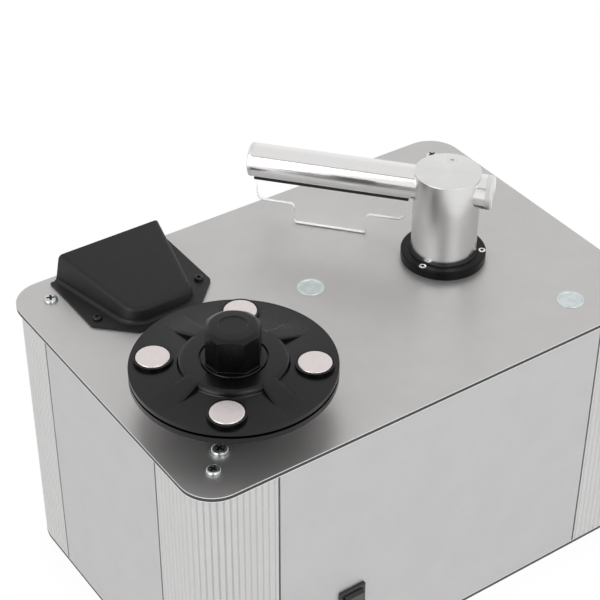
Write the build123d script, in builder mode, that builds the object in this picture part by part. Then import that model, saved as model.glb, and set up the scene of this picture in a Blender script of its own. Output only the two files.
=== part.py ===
from build123d import *

import os
from math import cos, pi, radians, sin, sqrt, tan

# Record cleaning machine: a silver cabinet with a label-size platter, a magnetic
# label clamp, a swinging vacuum arm and an exhaust hood.
#
# Millimetres, +Z up, +X to the machine's right, +Y to its rear. The origin is at the
# centre of the overall footprint, on the surface that the feet stand on.

# ---------------------------------------------------------------- driving dimensions

# Cabinet
panel_width = 304.0
panel_depth = 206.0
panel_corner_radius = 19.0
panel_overhang = 1.0
sheet_thickness = 3.0
profile_height = 164.0
profile_leg = 44.0
profile_corner_radius = 22.0
profile_wall = 2.0
profile_lip = 8.0
profile_lip_thickness = 1.5
profile_web = 2.0
screw_port_radius = 4.2
rib_pitch = 3.2
rib_width = 0.9
infill_gap = 1.2
corner_screw_inset = 19.0
foot_height = 12.0
foot_radius = 11.0
foot_base_radius = 10.0
foot_edge_radius = 1.0
foot_recess_radius = 5.0
foot_recess_depth = 5.0

# Screws
corner_screw_radius = 1.9
corner_screw_head_radius = 3.9
corner_screw_head_height = 2.3
corner_screw_length = 16.0
screw_edge_radius = 0.8
screw_recess_width = 1.0
screw_recess_length = 3.6
screw_recess_depth = 1.2
screw_clearance = 0.15

# Platter drive, in from the top panel's left and front edges
spindle_inset_x = 54.3
spindle_inset_y = 54.5
spindle_radius = 5.0
spindle_pin_radius = 3.55
spindle_pin_height = 13.0
spindle_pin_taper = 2.0
spindle_cover = 1.0
spindle_end_gap = 0.3
running_clearance = 0.05
seat_clearance = 0.03
bearing_radius = 8.0
bearing_flange_radius = 11.0
bearing_flange_height = 2.5
bearing_depth = 16.0
washer_height = 1.0
platter_running_gap = 0.3
drive_screw_spacing = 50.0
drive_screw_radius = 2.0
drive_screw_end = 2.0
drive_screw_head_radius = 4.2
drive_screw_head_height = 2.6
drive_washer_radius = 5.2
drive_washer_height = 0.8
standoff_radius = 5.0
standoff_length = 18.0
bracket_size = 66.0
bracket_thickness = 2.0
bracket_shaft_clearance = 1.0
spindle_engagement = 10.0
gearbox_radius = 30.0
gearbox_height = 18.0
drive_edge = 1.0
drive_motor_radius = 25.0
drive_motor_height = 25.0

# Platter and clamp
platter_radius = 53.0
platter_height = 24.4
platter_rim = 3.0
platter_web = 4.0
platter_rim_width = 5.0
disc_edge_radius = 0.4
platter_hub_radius = 15.0
rim_gap = 1.6
seal_inner_radius = 44.5
seal_outer_radius = 50.0
seal_seat = 0.5
clamp_rim = 2.3
clamp_floor_rise = 0.9
clamp_hub_radius = 28.2
clamp_hub_height = 4.1
clamp_hub_edge = 0.6
clamp_well_radius = 17.7
clamp_well_depth = 1.5
clamp_recess_depth = 1.2
clamp_recess_radius = 42.0
spoke_end_radius = 42.0
spoke_angle = 20.0
clamp_phase = -37.3
magnet_count = 4
magnet_ring_radius = 40.7
magnet_radius = 8.75
magnet_height = 3.0
magnet_stand = 2.7
magnet_boss_radius = 10.1
magnet_boss_drop = 0.45
magnet_groove = 0.5
magnet_edge_radius = 0.4
platter_magnet_radius = 6.0
platter_magnet_height = 3.0
knob_flange_radius = 16.7
knob_flange_rise = 0.1
knob_across_flats = 27.2
knob_corner_cut = 6.9
knob_height = 19.9
knob_edge_radius = 0.5
knob_lip = 0.5
knob_lip_height = 0.8
knob_chamfer_start = 12.0
knob_chamfer_angle = 31.0
knob_dome_drop = 0.3
knob_dish_radius = 7.4
knob_dish_depth = 0.6
knob_bore_depth = 9.0
knob_bore_clearance = 0.6
knob_screw_radius = 1.5
knob_screw_ring_radius = 10.0
knob_screw_count = 3
knob_screw_head_radius = 2.8
knob_screw_head_height = 1.0
knob_screw_length = 9.0

# Vacuum arm, in from the top panel's right and front edges
arm_inset_x = 79.3
arm_inset_y = 99.4
arm_park_angle = 131.3
collar_radius = 24.5
collar_height = 5.5
collar_clearance = 0.3
collar_chamfer = 0.7
collar_screw_ring_radius = 22.1
collar_screw_angle = -160.0
collar_screw_count = 3
collar_screw_radius = 1.5
collar_screw_head_radius = 2.15
collar_screw_length = 12.0
wiper_width = 0.6
wiper_height = 2.7
wiper_stand = 0.7
column_radius = 18.8
column_height = 57.5
column_reach = 32.0
column_bore_radius = 16.5
column_top_wall = 26.0
column_chamfer = 0.5
keyway_top_height = 0.0
key_width = 3.0
key_depth = 1.0
key_clearance = 0.1
key_top_drop = 11.0
key_bottom_drop = 40.0
sleeve_wall = 1.0
sleeve_floor = 2.0
sleeve_end_gap = 0.1
guide_wall = 3.2
guide_depth = 59.0
guide_flange_radius = 27.0
guide_flange_height = 4.0
guide_lip_height = 0.5
guide_floor = 3.0
guide_spigot_length = 12.0
spring_wire_radius = 0.8
spring_turns = 4
spring_mean_radius = 16.8
spring_end_gap = 0.1
tube_axis_height = 47.2
tube_radius = 9.7
tube_wall = 1.5
tube_reach = 113.8
tube_tail = 26.0
tube_cap_length = 2.5
tube_plug_length = 3.5
tube_spigot_length = 5.0
tube_edge_chamfer = 0.8
tube_air_hole_radius = 6.5
tube_flat_width = 8.0
slot_start = 28.5
slot_end_margin = 8.0
slot_width = 1.6
velvet_thickness = 2.0
velvet_end_margin = 0.5
lock_screw_offset = 11.8
lock_screw_radius = 1.5
lock_screw_head_radius = 2.9
lock_screw_depth = 14.0
hex_key_width = 2.0
hex_key_depth = 1.2

# Clear stop plate behind the parked tube
plate_thickness = 2.0
plate_end_margin = 0.5
plate_half_length = 44.0
plate_tab_half_length = 21.3
plate_wing_height = 13.0
plate_top_height = 50.0
plate_peg_depth = 6.0
plate_peg_width = 10.0
plate_peg_half_spacing = 12.0
plate_gap = 0.3
plate_corner_radius = 4.5
plate_tab_radius = 2.0

# Hole plugs in the top panel, one in from its left edge and one from its right
left_plug_inset_x = 144.3
left_plug_inset_y = 116.7
right_plug_inset_x = 46.7
right_plug_inset_y = 26.2
plug_radius = 7.9
plug_rim_width = 1.0
plug_rim_height = 0.5
plug_dish_depth = 0.5
plug_body_radius = 7.0
plug_body_depth = 6.0

# Exhaust hood
hood_inset_x = 63.5
hood_rear_margin = 6.0
hood_flange_half_width = 37.8
hood_flange_depth = 66.0
hood_flange_front_half_width = 19.0
hood_flange_corner_depth = 47.2
hood_flange_height = 1.5
hood_flange_radius = 3.0
hood_base_rear_half_width = 33.9
hood_base_front_half_width = 20.4
hood_base_depth = 61.2
hood_base_radius = 13.0
hood_bead_width = 2.0
hood_bead_height = 2.5
hood_bead_chamfer = 1.8
hood_top_rear_half_width = 31.6
hood_top_front_half_width = 18.6
hood_top_setback = 1.0
hood_top_depth = 60.4
hood_top_radius = 10.5
hood_rear_height = 18.3
hood_front_height = 10.2
hood_edge_radius = 2.4
hood_wall = 2.0
hood_screw_half_spacing = 32.2
hood_screw_depth = 43.5
hood_screw_radius = 1.5
hood_screw_head_radius = 2.6
hood_screw_head_height = 1.8
hood_screw_head_edge = 0.4
vent_count = 4
vent_pitch = 12.0
vent_length = 34.0
vent_width = 7.0

# Vacuum motor, in from the rear edge on the hood's centre line
vacuum_inset_y = 46.0
mount_ring_height = 10.0
mount_ring_floor = 3.0
mount_ring_wall = 5.0
mount_ring_bore = 30.0
vacuum_can_radius = 34.0
vacuum_can_height = 58.0
fan_radius = 40.0
fan_height = 34.0
fan_edge_radius = 5.0
motor_vent_count = 8
motor_vent_radius = 6.0
motor_vent_inset = 2.0
motor_vent_depth = 12.0
intake_height = 12.0

# Waste tank
tank_left_inset = 132.0
tank_right_inset = 28.0
tank_front_inset = 12.0
tank_rear_inset = 18.0
tank_corner_radius = 14.0
tank_edge_radius = 4.0
tank_wall = 2.0
tank_port_height = 12.0
tank_port_gap = 3.0
tank_outlet_inset_x = 158.0
hose_port_radius = 11.0
hose_port_bore = 9.0
hose_wall = 2.0
hose_bend_radius = 20.0
hose_rise = 30.0
hose_side_gap = 1.2
coupling_overlap = 8.0

# Rear fittings
rear_reach = 16.0
drain_inset_x = 68.0
drain_height = 27.0
drain_radius = 6.0
drain_bore = 2.8
drain_entry = 4.0
drain_flange_radius = 10.0
drain_flange_thickness = 2.5
drain_cap_wall = 2.0
drain_cap_end_gap = 0.3
drain_cap_length = 13.0
drain_cap_edge = 1.0
inlet_inset_x = 78.0
inlet_height = 140.0
inlet_flange_width = 31.0
inlet_flange_height = 24.5
inlet_flange_thickness = 2.5
inlet_body_width = 27.4
inlet_body_height = 20.0
inlet_body_depth = 20.0
inlet_socket_width = 24.2
inlet_socket_height = 16.4
inlet_socket_depth = 16.0
inlet_socket_cut = 5.0
inlet_pin_width = 2.0
inlet_pin_height = 4.0
inlet_pin_length = 14.0
inlet_pin_spacing = 7.0
inlet_earth_rise = 4.0

# Front switches
switch_inset_x = 62.0
switch_spacing = 30.0
switch_height = 62.0
switch_bezel_width = 17.0
switch_bezel_height = 23.0
switch_bezel_thickness = 2.0
switch_bezel_chamfer = 0.6
switch_body_width = 15.0
switch_body_height = 21.0
switch_body_depth = 20.0
switch_wall = 1.2
switch_pocket_depth = 11.0
rocker_clearance = 0.3
rocker_pivot_depth = 3.0
rocker_face = 4.2
rocker_back = 4.0
rocker_angle = 8.0
rocker_pin_radius = 1.2
rocker_pin_reach = 0.8

# ---------------------------------------------------------------- levels and places

rocker_radius = switch_body_height / 2 - switch_wall - rocker_clearance
rocker_half_face = sqrt(rocker_radius**2 - rocker_face**2)
tipped = radians(2 * rocker_angle)
rocker_tip = rocker_face * cos(tipped) + rocker_half_face * sin(tipped) - rocker_pivot_depth
front_reach = switch_bezel_thickness + rocker_tip - panel_overhang

left_edge = -panel_width / 2
right_edge = left_edge + panel_width
front_edge = (front_reach - panel_depth - rear_reach) / 2
rear_edge = front_edge + panel_depth
middle_y = front_edge + panel_depth / 2
bottom_sheet_top = foot_height + sheet_thickness
profile_top = bottom_sheet_top + profile_height
panel_top = profile_top + sheet_thickness
left_face = left_edge + panel_overhang
right_face = -left_face
front_face = front_edge + panel_overhang
rear_face = rear_edge - panel_overhang

spindle_x = left_edge + spindle_inset_x
spindle_y = front_edge + spindle_inset_y
arm_x = right_edge - arm_inset_x
arm_y = front_edge + arm_inset_y
hood_x = left_edge + hood_inset_x
hood_rear_y = rear_edge - hood_rear_margin
vacuum_x = hood_x
vacuum_y = rear_edge - vacuum_inset_y
park = radians(arm_park_angle)
plate_offset = tube_radius + plate_gap + plate_thickness / 2
plate_middle = tube_reach - plate_end_margin - plate_half_length
plate_x = arm_x + plate_offset * sin(park) + plate_middle * cos(park)
plate_y = arm_y - plate_offset * cos(park) + plate_middle * sin(park)
inlet_x = right_edge - inlet_inset_x
drain_x = right_edge - drain_inset_x

corner_span_x = panel_width - 2 * corner_screw_inset
corner_span_y = panel_depth - 2 * corner_screw_inset
plug_points = [
    (left_edge + left_plug_inset_x, front_edge + left_plug_inset_y),
    (right_edge - right_plug_inset_x, front_edge + right_plug_inset_y),
]
switch_x = left_edge + switch_inset_x
switch_points = [(switch_x, switch_height), (switch_x + switch_spacing, switch_height)]
hood_screw_y = hood_rear_y - hood_screw_depth
hood_screw_points = [(hood_x + side * hood_screw_half_spacing, hood_screw_y) for side in (-1, 1)]


def level(x, y, z, angle=0.0):
    """A horizontal plane at (x, y, z), its X turned by angle."""
    turn = radians(angle)
    return Plane(origin=(x, y, z), x_dir=(cos(turn), sin(turn), 0), z_dir=(0, 0, 1))


def radial(x, y, z, angle=0.0):
    """An upright plane through (x, y, z): X runs outward at angle, Y runs up."""
    turn = radians(angle)
    return Plane(origin=(x, y, z), x_dir=(cos(turn), sin(turn), 0), z_dir=(sin(turn), -cos(turn), 0))


def along_arm(distance):
    """An upright plane across the parked tube, this far out along its axis; Y runs up."""
    origin = (arm_x + distance * cos(park), arm_y + distance * sin(park), panel_top + tube_axis_height)
    return Plane(origin=origin, x_dir=(-sin(park), cos(park), 0), z_dir=(cos(park), sin(park), 0))


spindle_axis = Axis((spindle_x, spindle_y, 0), (0, 0, 1))
arm_axis = Axis((arm_x, arm_y, 0), (0, 0, 1))
vacuum_axis = Axis((vacuum_x, vacuum_y, 0), (0, 0, 1))

os.makedirs("parts", exist_ok=True)

# ---------------------------------------------------------------- cabinet

with BuildPart() as top_panel:
    with BuildSketch(Plane.XY.offset(profile_top)):
        with Locations((0, middle_y)):
            RectangleRounded(panel_width, panel_depth, panel_corner_radius)
            with GridLocations(corner_span_x, corner_span_y, 2, 2):
                Circle(corner_screw_radius + screw_clearance, mode=Mode.SUBTRACT)
        with Locations((spindle_x, spindle_y)):
            Circle(bearing_radius + seat_clearance, mode=Mode.SUBTRACT)
            with GridLocations(drive_screw_spacing, drive_screw_spacing, 2, 2):
                Circle(drive_screw_radius + screw_clearance, mode=Mode.SUBTRACT)
        with Locations((arm_x, arm_y)):
            Circle(column_radius + collar_clearance, mode=Mode.SUBTRACT)
            with PolarLocations(collar_screw_ring_radius, collar_screw_count, collar_screw_angle):
                Circle(collar_screw_radius + screw_clearance, mode=Mode.SUBTRACT)
        with Locations(*plug_points):
            Circle(plug_body_radius + seat_clearance, mode=Mode.SUBTRACT)
        with Locations(*hood_screw_points):
            Circle(hood_screw_radius + screw_clearance, mode=Mode.SUBTRACT)
        with Locations((vacuum_x, vacuum_y)):
            with GridLocations(vent_pitch, vent_pitch, 1, vent_count):
                SlotOverall(vent_length, vent_width, mode=Mode.SUBTRACT)
    extrude(amount=sheet_thickness)
    with BuildSketch(level(plate_x, plate_y, profile_top, arm_park_angle)):
        with GridLocations(2 * plate_peg_half_spacing, 2 * plate_peg_half_spacing, 2, 1):
            Rectangle(plate_peg_width + 2 * seat_clearance, plate_thickness + 2 * seat_clearance)
    extrude(amount=sheet_thickness, mode=Mode.SUBTRACT)
top_panel.part.label = "top_panel"
export_step(top_panel.part, "parts/top_panel.step")

with BuildPart() as bottom_panel:
    with BuildSketch(Plane.XY.offset(foot_height)):
        with Locations((0, middle_y)):
            RectangleRounded(
                panel_width - 2 * panel_overhang, panel_depth - 2 * panel_overhang, profile_corner_radius
            )
            with GridLocations(corner_span_x, corner_span_y, 2, 2):
                Circle(corner_screw_radius + screw_clearance, mode=Mode.SUBTRACT)
    extrude(amount=sheet_thickness)
bottom_panel.part.label = "bottom_panel"
export_step(bottom_panel.part, "parts/bottom_panel.step")

# Corner profile: a quarter-round wall with fine V ribs, a screw port on a web and a
# lip behind each leg that carries an infill panel flush with the outer face.
port_inset = corner_screw_inset - panel_overhang
lip_root = profile_leg - profile_wall
lip_back = sheet_thickness + profile_lip_thickness
flat_length = profile_leg - profile_corner_radius
flat_ribs = int(flat_length / rib_pitch)
arc_ribs = int(pi / 2 * profile_corner_radius / rib_pitch)
web_start = profile_corner_radius - (profile_corner_radius - profile_wall / 2) / sqrt(2)
web_middle = (web_start + port_inset) / 2


def leg_bar(start, end, front, back):
    """Adds a bar behind one leg's outer face to the sketch, and its twin on the other leg."""
    with Locations(((start + end) / 2, (front + back) / 2)):
        Rectangle(end - start, back - front)
    with Locations(((front + back) / 2, (start + end) / 2)):
        Rectangle(back - front, end - start)


with BuildPart() as front_left_profile:
    with BuildSketch(level(left_face, front_face, bottom_sheet_top)):
        with BuildLine():
            FilletPolyline(
                (profile_leg, profile_wall / 2),
                (profile_wall / 2, profile_wall / 2),
                (profile_wall / 2, profile_leg),
                radius=profile_corner_radius - profile_wall / 2,
            )
        trace(line_width=profile_wall)
        leg_bar(lip_root, profile_leg, 0, lip_back)
        leg_bar(lip_root, profile_leg + profile_lip, sheet_thickness, lip_back)
        with Locations((web_middle, web_middle)):
            Rectangle((port_inset - web_start) * sqrt(2), profile_web, rotation=45)
        with Locations((port_inset, port_inset)):
            Circle(screw_port_radius)
            Circle(corner_screw_radius + seat_clearance, mode=Mode.SUBTRACT)
        for rib in range(flat_ribs):
            reach = profile_corner_radius + (rib + 0.5) * flat_length / flat_ribs
            with Locations((reach, 0), (0, reach)):
                Rectangle(rib_width, rib_width, rotation=45, mode=Mode.SUBTRACT)
        with Locations((profile_corner_radius, profile_corner_radius)):
            with PolarLocations(profile_corner_radius, arc_ribs, 180 + 45 / arc_ribs, 90):
                Rectangle(rib_width, rib_width, rotation=45, mode=Mode.SUBTRACT)
    extrude(amount=profile_height)
front_left_profile.part.label = "front_left_profile"
export_step(front_left_profile.part, "parts/front_left_profile.step")

across = Plane.YZ
along = Plane(origin=(0, middle_y, 0), z_dir=(0, 1, 0))

with BuildPart() as front_right_profile:
    mirror(front_left_profile.part, about=across)
front_right_profile.part.label = "front_right_profile"
export_step(front_right_profile.part, "parts/front_right_profile.step")

with BuildPart() as rear_left_profile:
    mirror(front_left_profile.part, about=along)
rear_left_profile.part.label = "rear_left_profile"
export_step(rear_left_profile.part, "parts/rear_left_profile.step")

with BuildPart() as rear_right_profile:
    mirror(rear_left_profile.part, about=across)
rear_right_profile.part.label = "rear_right_profile"
export_step(rear_right_profile.part, "parts/rear_right_profile.step")

# Infill panels, flush with the profiles' outer faces.
infill_inset = profile_leg + infill_gap
infill_width = right_face - left_face - 2 * infill_inset
infill_depth = rear_face - front_face - 2 * infill_inset
infill_middle = bottom_sheet_top + profile_height / 2

with BuildPart() as front_infill:
    with BuildSketch(Plane(origin=(0, front_face, 0), x_dir=(1, 0, 0), z_dir=(0, -1, 0))):
        with Locations((0, infill_middle)):
            Rectangle(infill_width, profile_height)
        with Locations(*switch_points):
            Rectangle(
                switch_body_width + 2 * seat_clearance,
                switch_body_height + 2 * seat_clearance,
                mode=Mode.SUBTRACT,
            )
    extrude(amount=-sheet_thickness)
front_infill.part.label = "front_infill"
export_step(front_infill.part, "parts/front_infill.step")

with BuildPart() as rear_infill:
    with BuildSketch(Plane(origin=(0, rear_face, 0), x_dir=(1, 0, 0), z_dir=(0, -1, 0))):
        with Locations((0, infill_middle)):
            Rectangle(infill_width, profile_height)
        with Locations((inlet_x, inlet_height)):
            Rectangle(
                inlet_body_width + 2 * seat_clearance,
                inlet_body_height + 2 * seat_clearance,
                mode=Mode.SUBTRACT,
            )
        with Locations((drain_x, drain_height)):
            Circle(drain_radius + seat_clearance, mode=Mode.SUBTRACT)
    extrude(amount=sheet_thickness)
rear_infill.part.label = "rear_infill"
export_step(rear_infill.part, "parts/rear_infill.step")

with BuildPart() as left_infill:
    with BuildSketch(Plane(origin=(left_face, middle_y, infill_middle), x_dir=(0, 1, 0), z_dir=(1, 0, 0))):
        Rectangle(infill_depth, profile_height)
    extrude(amount=sheet_thickness)
left_infill.part.label = "left_infill"
export_step(left_infill.part, "parts/left_infill.step")

with BuildPart() as right_infill:
    mirror(left_infill.part, about=across)
right_infill.part.label = "right_infill"
export_step(right_infill.part, "parts/right_infill.step")

with BuildPart() as feet:
    with Locations((0, middle_y, 0)):
        with GridLocations(corner_span_x, corner_span_y, 2, 2):
            Cone(foot_base_radius, foot_radius, foot_height, align=(Align.CENTER, Align.CENTER, Align.MIN))
    fillet(edges().group_by(Axis.Z)[0], foot_edge_radius)
    with Locations((0, middle_y, foot_height)):
        with GridLocations(corner_span_x, corner_span_y, 2, 2):
            Hole(corner_screw_radius + screw_clearance)
    with Locations((0, middle_y, 0)):
        with GridLocations(corner_span_x, corner_span_y, 2, 2):
            Cylinder(
                foot_recess_radius,
                foot_recess_depth,
                align=(Align.CENTER, Align.CENTER, Align.MIN),
                mode=Mode.SUBTRACT,
            )
feet.part.label = "feet"
export_step(feet.part, "parts/feet.step")

with BuildPart() as foot_screws:
    with Locations((0, middle_y, foot_recess_depth)):
        with GridLocations(corner_span_x, corner_span_y, 2, 2):
            Cylinder(
                corner_screw_head_radius,
                corner_screw_head_height,
                align=(Align.CENTER, Align.CENTER, Align.MAX),
            )
            Cylinder(
                corner_screw_radius, corner_screw_length, align=(Align.CENTER, Align.CENTER, Align.MIN)
            )
foot_screws.part.label = "foot_screws"
export_step(foot_screws.part, "parts/foot_screws.step")

with BuildPart() as panel_screws:
    with Locations((0, middle_y, panel_top)):
        with GridLocations(corner_span_x, corner_span_y, 2, 2):
            Cylinder(
                corner_screw_radius, corner_screw_length, align=(Align.CENTER, Align.CENTER, Align.MAX)
            )
            Cylinder(
                corner_screw_head_radius,
                corner_screw_head_height,
                align=(Align.CENTER, Align.CENTER, Align.MIN),
            )
    fillet(edges().group_by(Axis.Z)[-1], screw_edge_radius)
    with BuildSketch(Plane.XY.offset(panel_top + corner_screw_head_height)):
        with Locations((0, middle_y)):
            with GridLocations(corner_span_x, corner_span_y, 2, 2):
                Rectangle(screw_recess_length, screw_recess_width)
                Rectangle(screw_recess_width, screw_recess_length)
    extrude(amount=-screw_recess_depth, mode=Mode.SUBTRACT)
panel_screws.part.label = "panel_screws"
export_step(panel_screws.part, "parts/panel_screws.step")

with BuildPart() as panel_plugs:
    for plug_x, plug_y in plug_points:
        with BuildSketch(radial(plug_x, plug_y, panel_top)):
            with BuildLine():
                Polyline(
                    (0, -plug_body_depth),
                    (plug_body_radius, -plug_body_depth),
                    (plug_body_radius, 0),
                    (plug_radius, 0),
                    (plug_radius, plug_rim_height / 2),
                    (plug_radius - plug_rim_height / 2, plug_rim_height),
                    (plug_radius - plug_rim_width, plug_rim_height),
                    (plug_radius - plug_rim_width - plug_dish_depth, plug_rim_height - plug_dish_depth),
                    (0, plug_rim_height - plug_dish_depth),
                    close=True,
                )
            make_face()
        revolve(axis=Axis((plug_x, plug_y, 0), (0, 0, 1)))
panel_plugs.part.label = "panel_plugs"
export_step(panel_plugs.part, "parts/panel_plugs.step")

# ---------------------------------------------------------------- exhaust hood

slope = (hood_rear_height - hood_front_height) / hood_top_depth
hood_level = level(hood_x, hood_rear_y, panel_top)
bead_top = hood_flange_height + hood_bead_height


def hood_section(plane, rear_half_width, front_half_width, depth, corner_radius, inset=0.0):
    """One plan section of the hood on a plane, drawn in by inset and then run out at its rear."""
    with BuildSketch(plane) as section:
        with BuildLine():
            Polyline(
                (rear_half_width - inset, max(inset, 0)),
                (front_half_width - inset, inset - depth),
                (inset - front_half_width, inset - depth),
                (inset - rear_half_width, max(inset, 0)),
                close=True,
            )
        make_face()
        fillet(vertices().group_by(Axis.Y)[0], corner_radius - inset)
    return section.sketch


def hood_base(height, inset=0.0):
    """The hood's plan section at a height in its upright foot."""
    plane = hood_level.offset(height)
    return hood_section(
        plane, hood_base_rear_half_width, hood_base_front_half_width, hood_base_depth, hood_base_radius, inset
    )


def hood_top(inset=0.0):
    """The hood's plan section on its sloping top, or below it by inset for the inside."""
    origin = (hood_x, hood_rear_y - hood_top_setback, panel_top + hood_rear_height - inset)
    plane = Plane(origin=origin, x_dir=(1, 0, 0), z_dir=(0, -slope, 1))
    return hood_section(
        plane, hood_top_rear_half_width, hood_top_front_half_width, hood_top_depth, hood_top_radius, inset
    )


with BuildPart() as exhaust_hood:
    with BuildSketch(hood_level):
        with BuildLine():
            Polyline(
                (hood_flange_half_width, 0),
                (hood_flange_half_width, -hood_flange_corner_depth),
                (hood_flange_front_half_width, -hood_flange_depth),
                (-hood_flange_front_half_width, -hood_flange_depth),
                (-hood_flange_half_width, -hood_flange_corner_depth),
                (-hood_flange_half_width, 0),
                close=True,
            )
        make_face()
        fillet(vertices(), hood_flange_radius)
    extrude(amount=hood_flange_height)
    extrude(hood_base(hood_flange_height, inset=-hood_bead_width), amount=hood_bead_height)
    chamfer(faces().sort_by(Axis.Z)[-1].edges().sort_by(Axis.Y)[:-1], hood_bead_chamfer)
    loft([hood_base(bead_top), hood_top()])
    fillet(faces().sort_by(Axis.Z)[-1].edges().sort_by(Axis.Y)[:-1], hood_edge_radius)
    extrude(hood_base(0, inset=hood_wall), amount=bead_top, mode=Mode.SUBTRACT)
    loft([hood_base(bead_top, inset=hood_wall), hood_top(inset=hood_wall)], mode=Mode.SUBTRACT)
    with BuildSketch(Plane.XY.offset(panel_top)):
        with Locations(*hood_screw_points):
            Circle(hood_screw_radius + screw_clearance)
    extrude(amount=hood_flange_height, mode=Mode.SUBTRACT)
exhaust_hood.part.label = "exhaust_hood"
export_step(exhaust_hood.part, "parts/exhaust_hood.step")

with BuildPart() as hood_screws:
    for screw_x, screw_y in hood_screw_points:
        with Locations((screw_x, screw_y, panel_top + hood_flange_height)):
            Cylinder(
                hood_screw_radius,
                hood_flange_height + sheet_thickness + mount_ring_floor,
                align=(Align.CENTER, Align.CENTER, Align.MAX),
            )
            Cylinder(
                hood_screw_head_radius,
                hood_screw_head_height,
                align=(Align.CENTER, Align.CENTER, Align.MIN),
            )
    fillet(edges().group_by(Axis.Z)[-1], hood_screw_head_edge)
    with BuildSketch(Plane.XY.offset(panel_top + hood_flange_height + hood_screw_head_height)):
        with Locations(*hood_screw_points):
            RegularPolygon(hex_key_width / sqrt(3), 6)
    extrude(amount=-hex_key_depth, mode=Mode.SUBTRACT)
hood_screws.part.label = "hood_screws"
export_step(hood_screws.part, "parts/hood_screws.step")

# ---------------------------------------------------------------- platter drive

platter_top = panel_top + platter_height
platter_bottom = bearing_flange_height + washer_height + platter_running_gap
drive_grid = drive_screw_spacing
bracket_top = profile_top - standoff_length
gearbox_top = bracket_top - bracket_thickness

with BuildPart() as spindle_bearing:
    with BuildSketch(radial(spindle_x, spindle_y, panel_top)):
        with BuildLine():
            Polyline(
                (spindle_radius + running_clearance, -bearing_depth),
                (bearing_radius, -bearing_depth),
                (bearing_radius, 0),
                (bearing_flange_radius, 0),
                (bearing_flange_radius, bearing_flange_height),
                (spindle_radius + running_clearance, bearing_flange_height),
                close=True,
            )
        make_face()
    revolve(axis=spindle_axis)
spindle_bearing.part.label = "spindle_bearing"
export_step(spindle_bearing.part, "parts/spindle_bearing.step")

with BuildPart() as thrust_washer:
    with BuildSketch(level(spindle_x, spindle_y, panel_top + bearing_flange_height)):
        Circle(bearing_flange_radius - washer_height)
        Circle(spindle_radius + running_clearance, mode=Mode.SUBTRACT)
    extrude(amount=washer_height)
thrust_washer.part.label = "thrust_washer"
export_step(thrust_washer.part, "parts/thrust_washer.step")

with BuildPart() as drive_standoffs:
    with BuildSketch(level(spindle_x, spindle_y, profile_top)):
        with GridLocations(drive_grid, drive_grid, 2, 2):
            Circle(standoff_radius)
            Circle(drive_screw_radius + screw_clearance, mode=Mode.SUBTRACT)
    extrude(amount=-standoff_length)
drive_standoffs.part.label = "drive_standoffs"
export_step(drive_standoffs.part, "parts/drive_standoffs.step")

with BuildPart() as drive_bracket:
    with BuildSketch(level(spindle_x, spindle_y, bracket_top)):
        RectangleRounded(bracket_size, bracket_size, standoff_radius)
        Circle(spindle_radius + bracket_shaft_clearance, mode=Mode.SUBTRACT)
        with GridLocations(drive_grid, drive_grid, 2, 2):
            Circle(drive_screw_radius + seat_clearance, mode=Mode.SUBTRACT)
    extrude(amount=-bracket_thickness)
drive_bracket.part.label = "drive_bracket"
export_step(drive_bracket.part, "parts/drive_bracket.step")

with BuildPart() as drive_washers:
    with BuildSketch(level(spindle_x, spindle_y, panel_top)):
        with GridLocations(drive_grid, drive_grid, 2, 2):
            Circle(drive_washer_radius)
            Circle(drive_screw_radius + screw_clearance, mode=Mode.SUBTRACT)
    extrude(amount=drive_washer_height)
drive_washers.part.label = "drive_washers"
export_step(drive_washers.part, "parts/drive_washers.step")

with BuildPart() as drive_screws:
    with Locations((spindle_x, spindle_y, panel_top + drive_washer_height)):
        with GridLocations(drive_grid, drive_grid, 2, 2):
            Cylinder(
                drive_screw_radius,
                drive_washer_height + sheet_thickness + standoff_length + bracket_thickness + drive_screw_end,
                align=(Align.CENTER, Align.CENTER, Align.MAX),
            )
            Cylinder(
                drive_screw_head_radius,
                drive_screw_head_height,
                align=(Align.CENTER, Align.CENTER, Align.MIN),
            )
    fillet(edges().group_by(Axis.Z)[-1], screw_edge_radius)
    with BuildSketch(level(spindle_x, spindle_y, panel_top + drive_washer_height + drive_screw_head_height)):
        with GridLocations(drive_grid, drive_grid, 2, 2):
            Rectangle(screw_recess_length, screw_recess_width)
            Rectangle(screw_recess_width, screw_recess_length)
    extrude(amount=-screw_recess_depth, mode=Mode.SUBTRACT)
drive_screws.part.label = "drive_screws"
export_step(drive_screws.part, "parts/drive_screws.step")

with BuildPart() as drive_gearbox:
    with Locations((spindle_x, spindle_y, gearbox_top)):
        Cylinder(gearbox_radius, gearbox_height, align=(Align.CENTER, Align.CENTER, Align.MAX))
        CounterBoreHole(
            spindle_radius + running_clearance,
            spindle_radius + bracket_shaft_clearance,
            bracket_thickness,
            depth=spindle_engagement,
        )
    chamfer(edges().group_by(Axis.Z)[0], drive_edge)
drive_gearbox.part.label = "drive_gearbox"
export_step(drive_gearbox.part, "parts/drive_gearbox.step")

with BuildPart() as drive_motor:
    with Locations((spindle_x, spindle_y, gearbox_top - gearbox_height)):
        Cylinder(drive_motor_radius, drive_motor_height, align=(Align.CENTER, Align.CENTER, Align.MAX))
    chamfer(edges().group_by(Axis.Z)[0], drive_edge)
drive_motor.part.label = "drive_motor"
export_step(drive_motor.part, "parts/drive_motor.step")

# ---------------------------------------------------------------- platter

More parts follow.
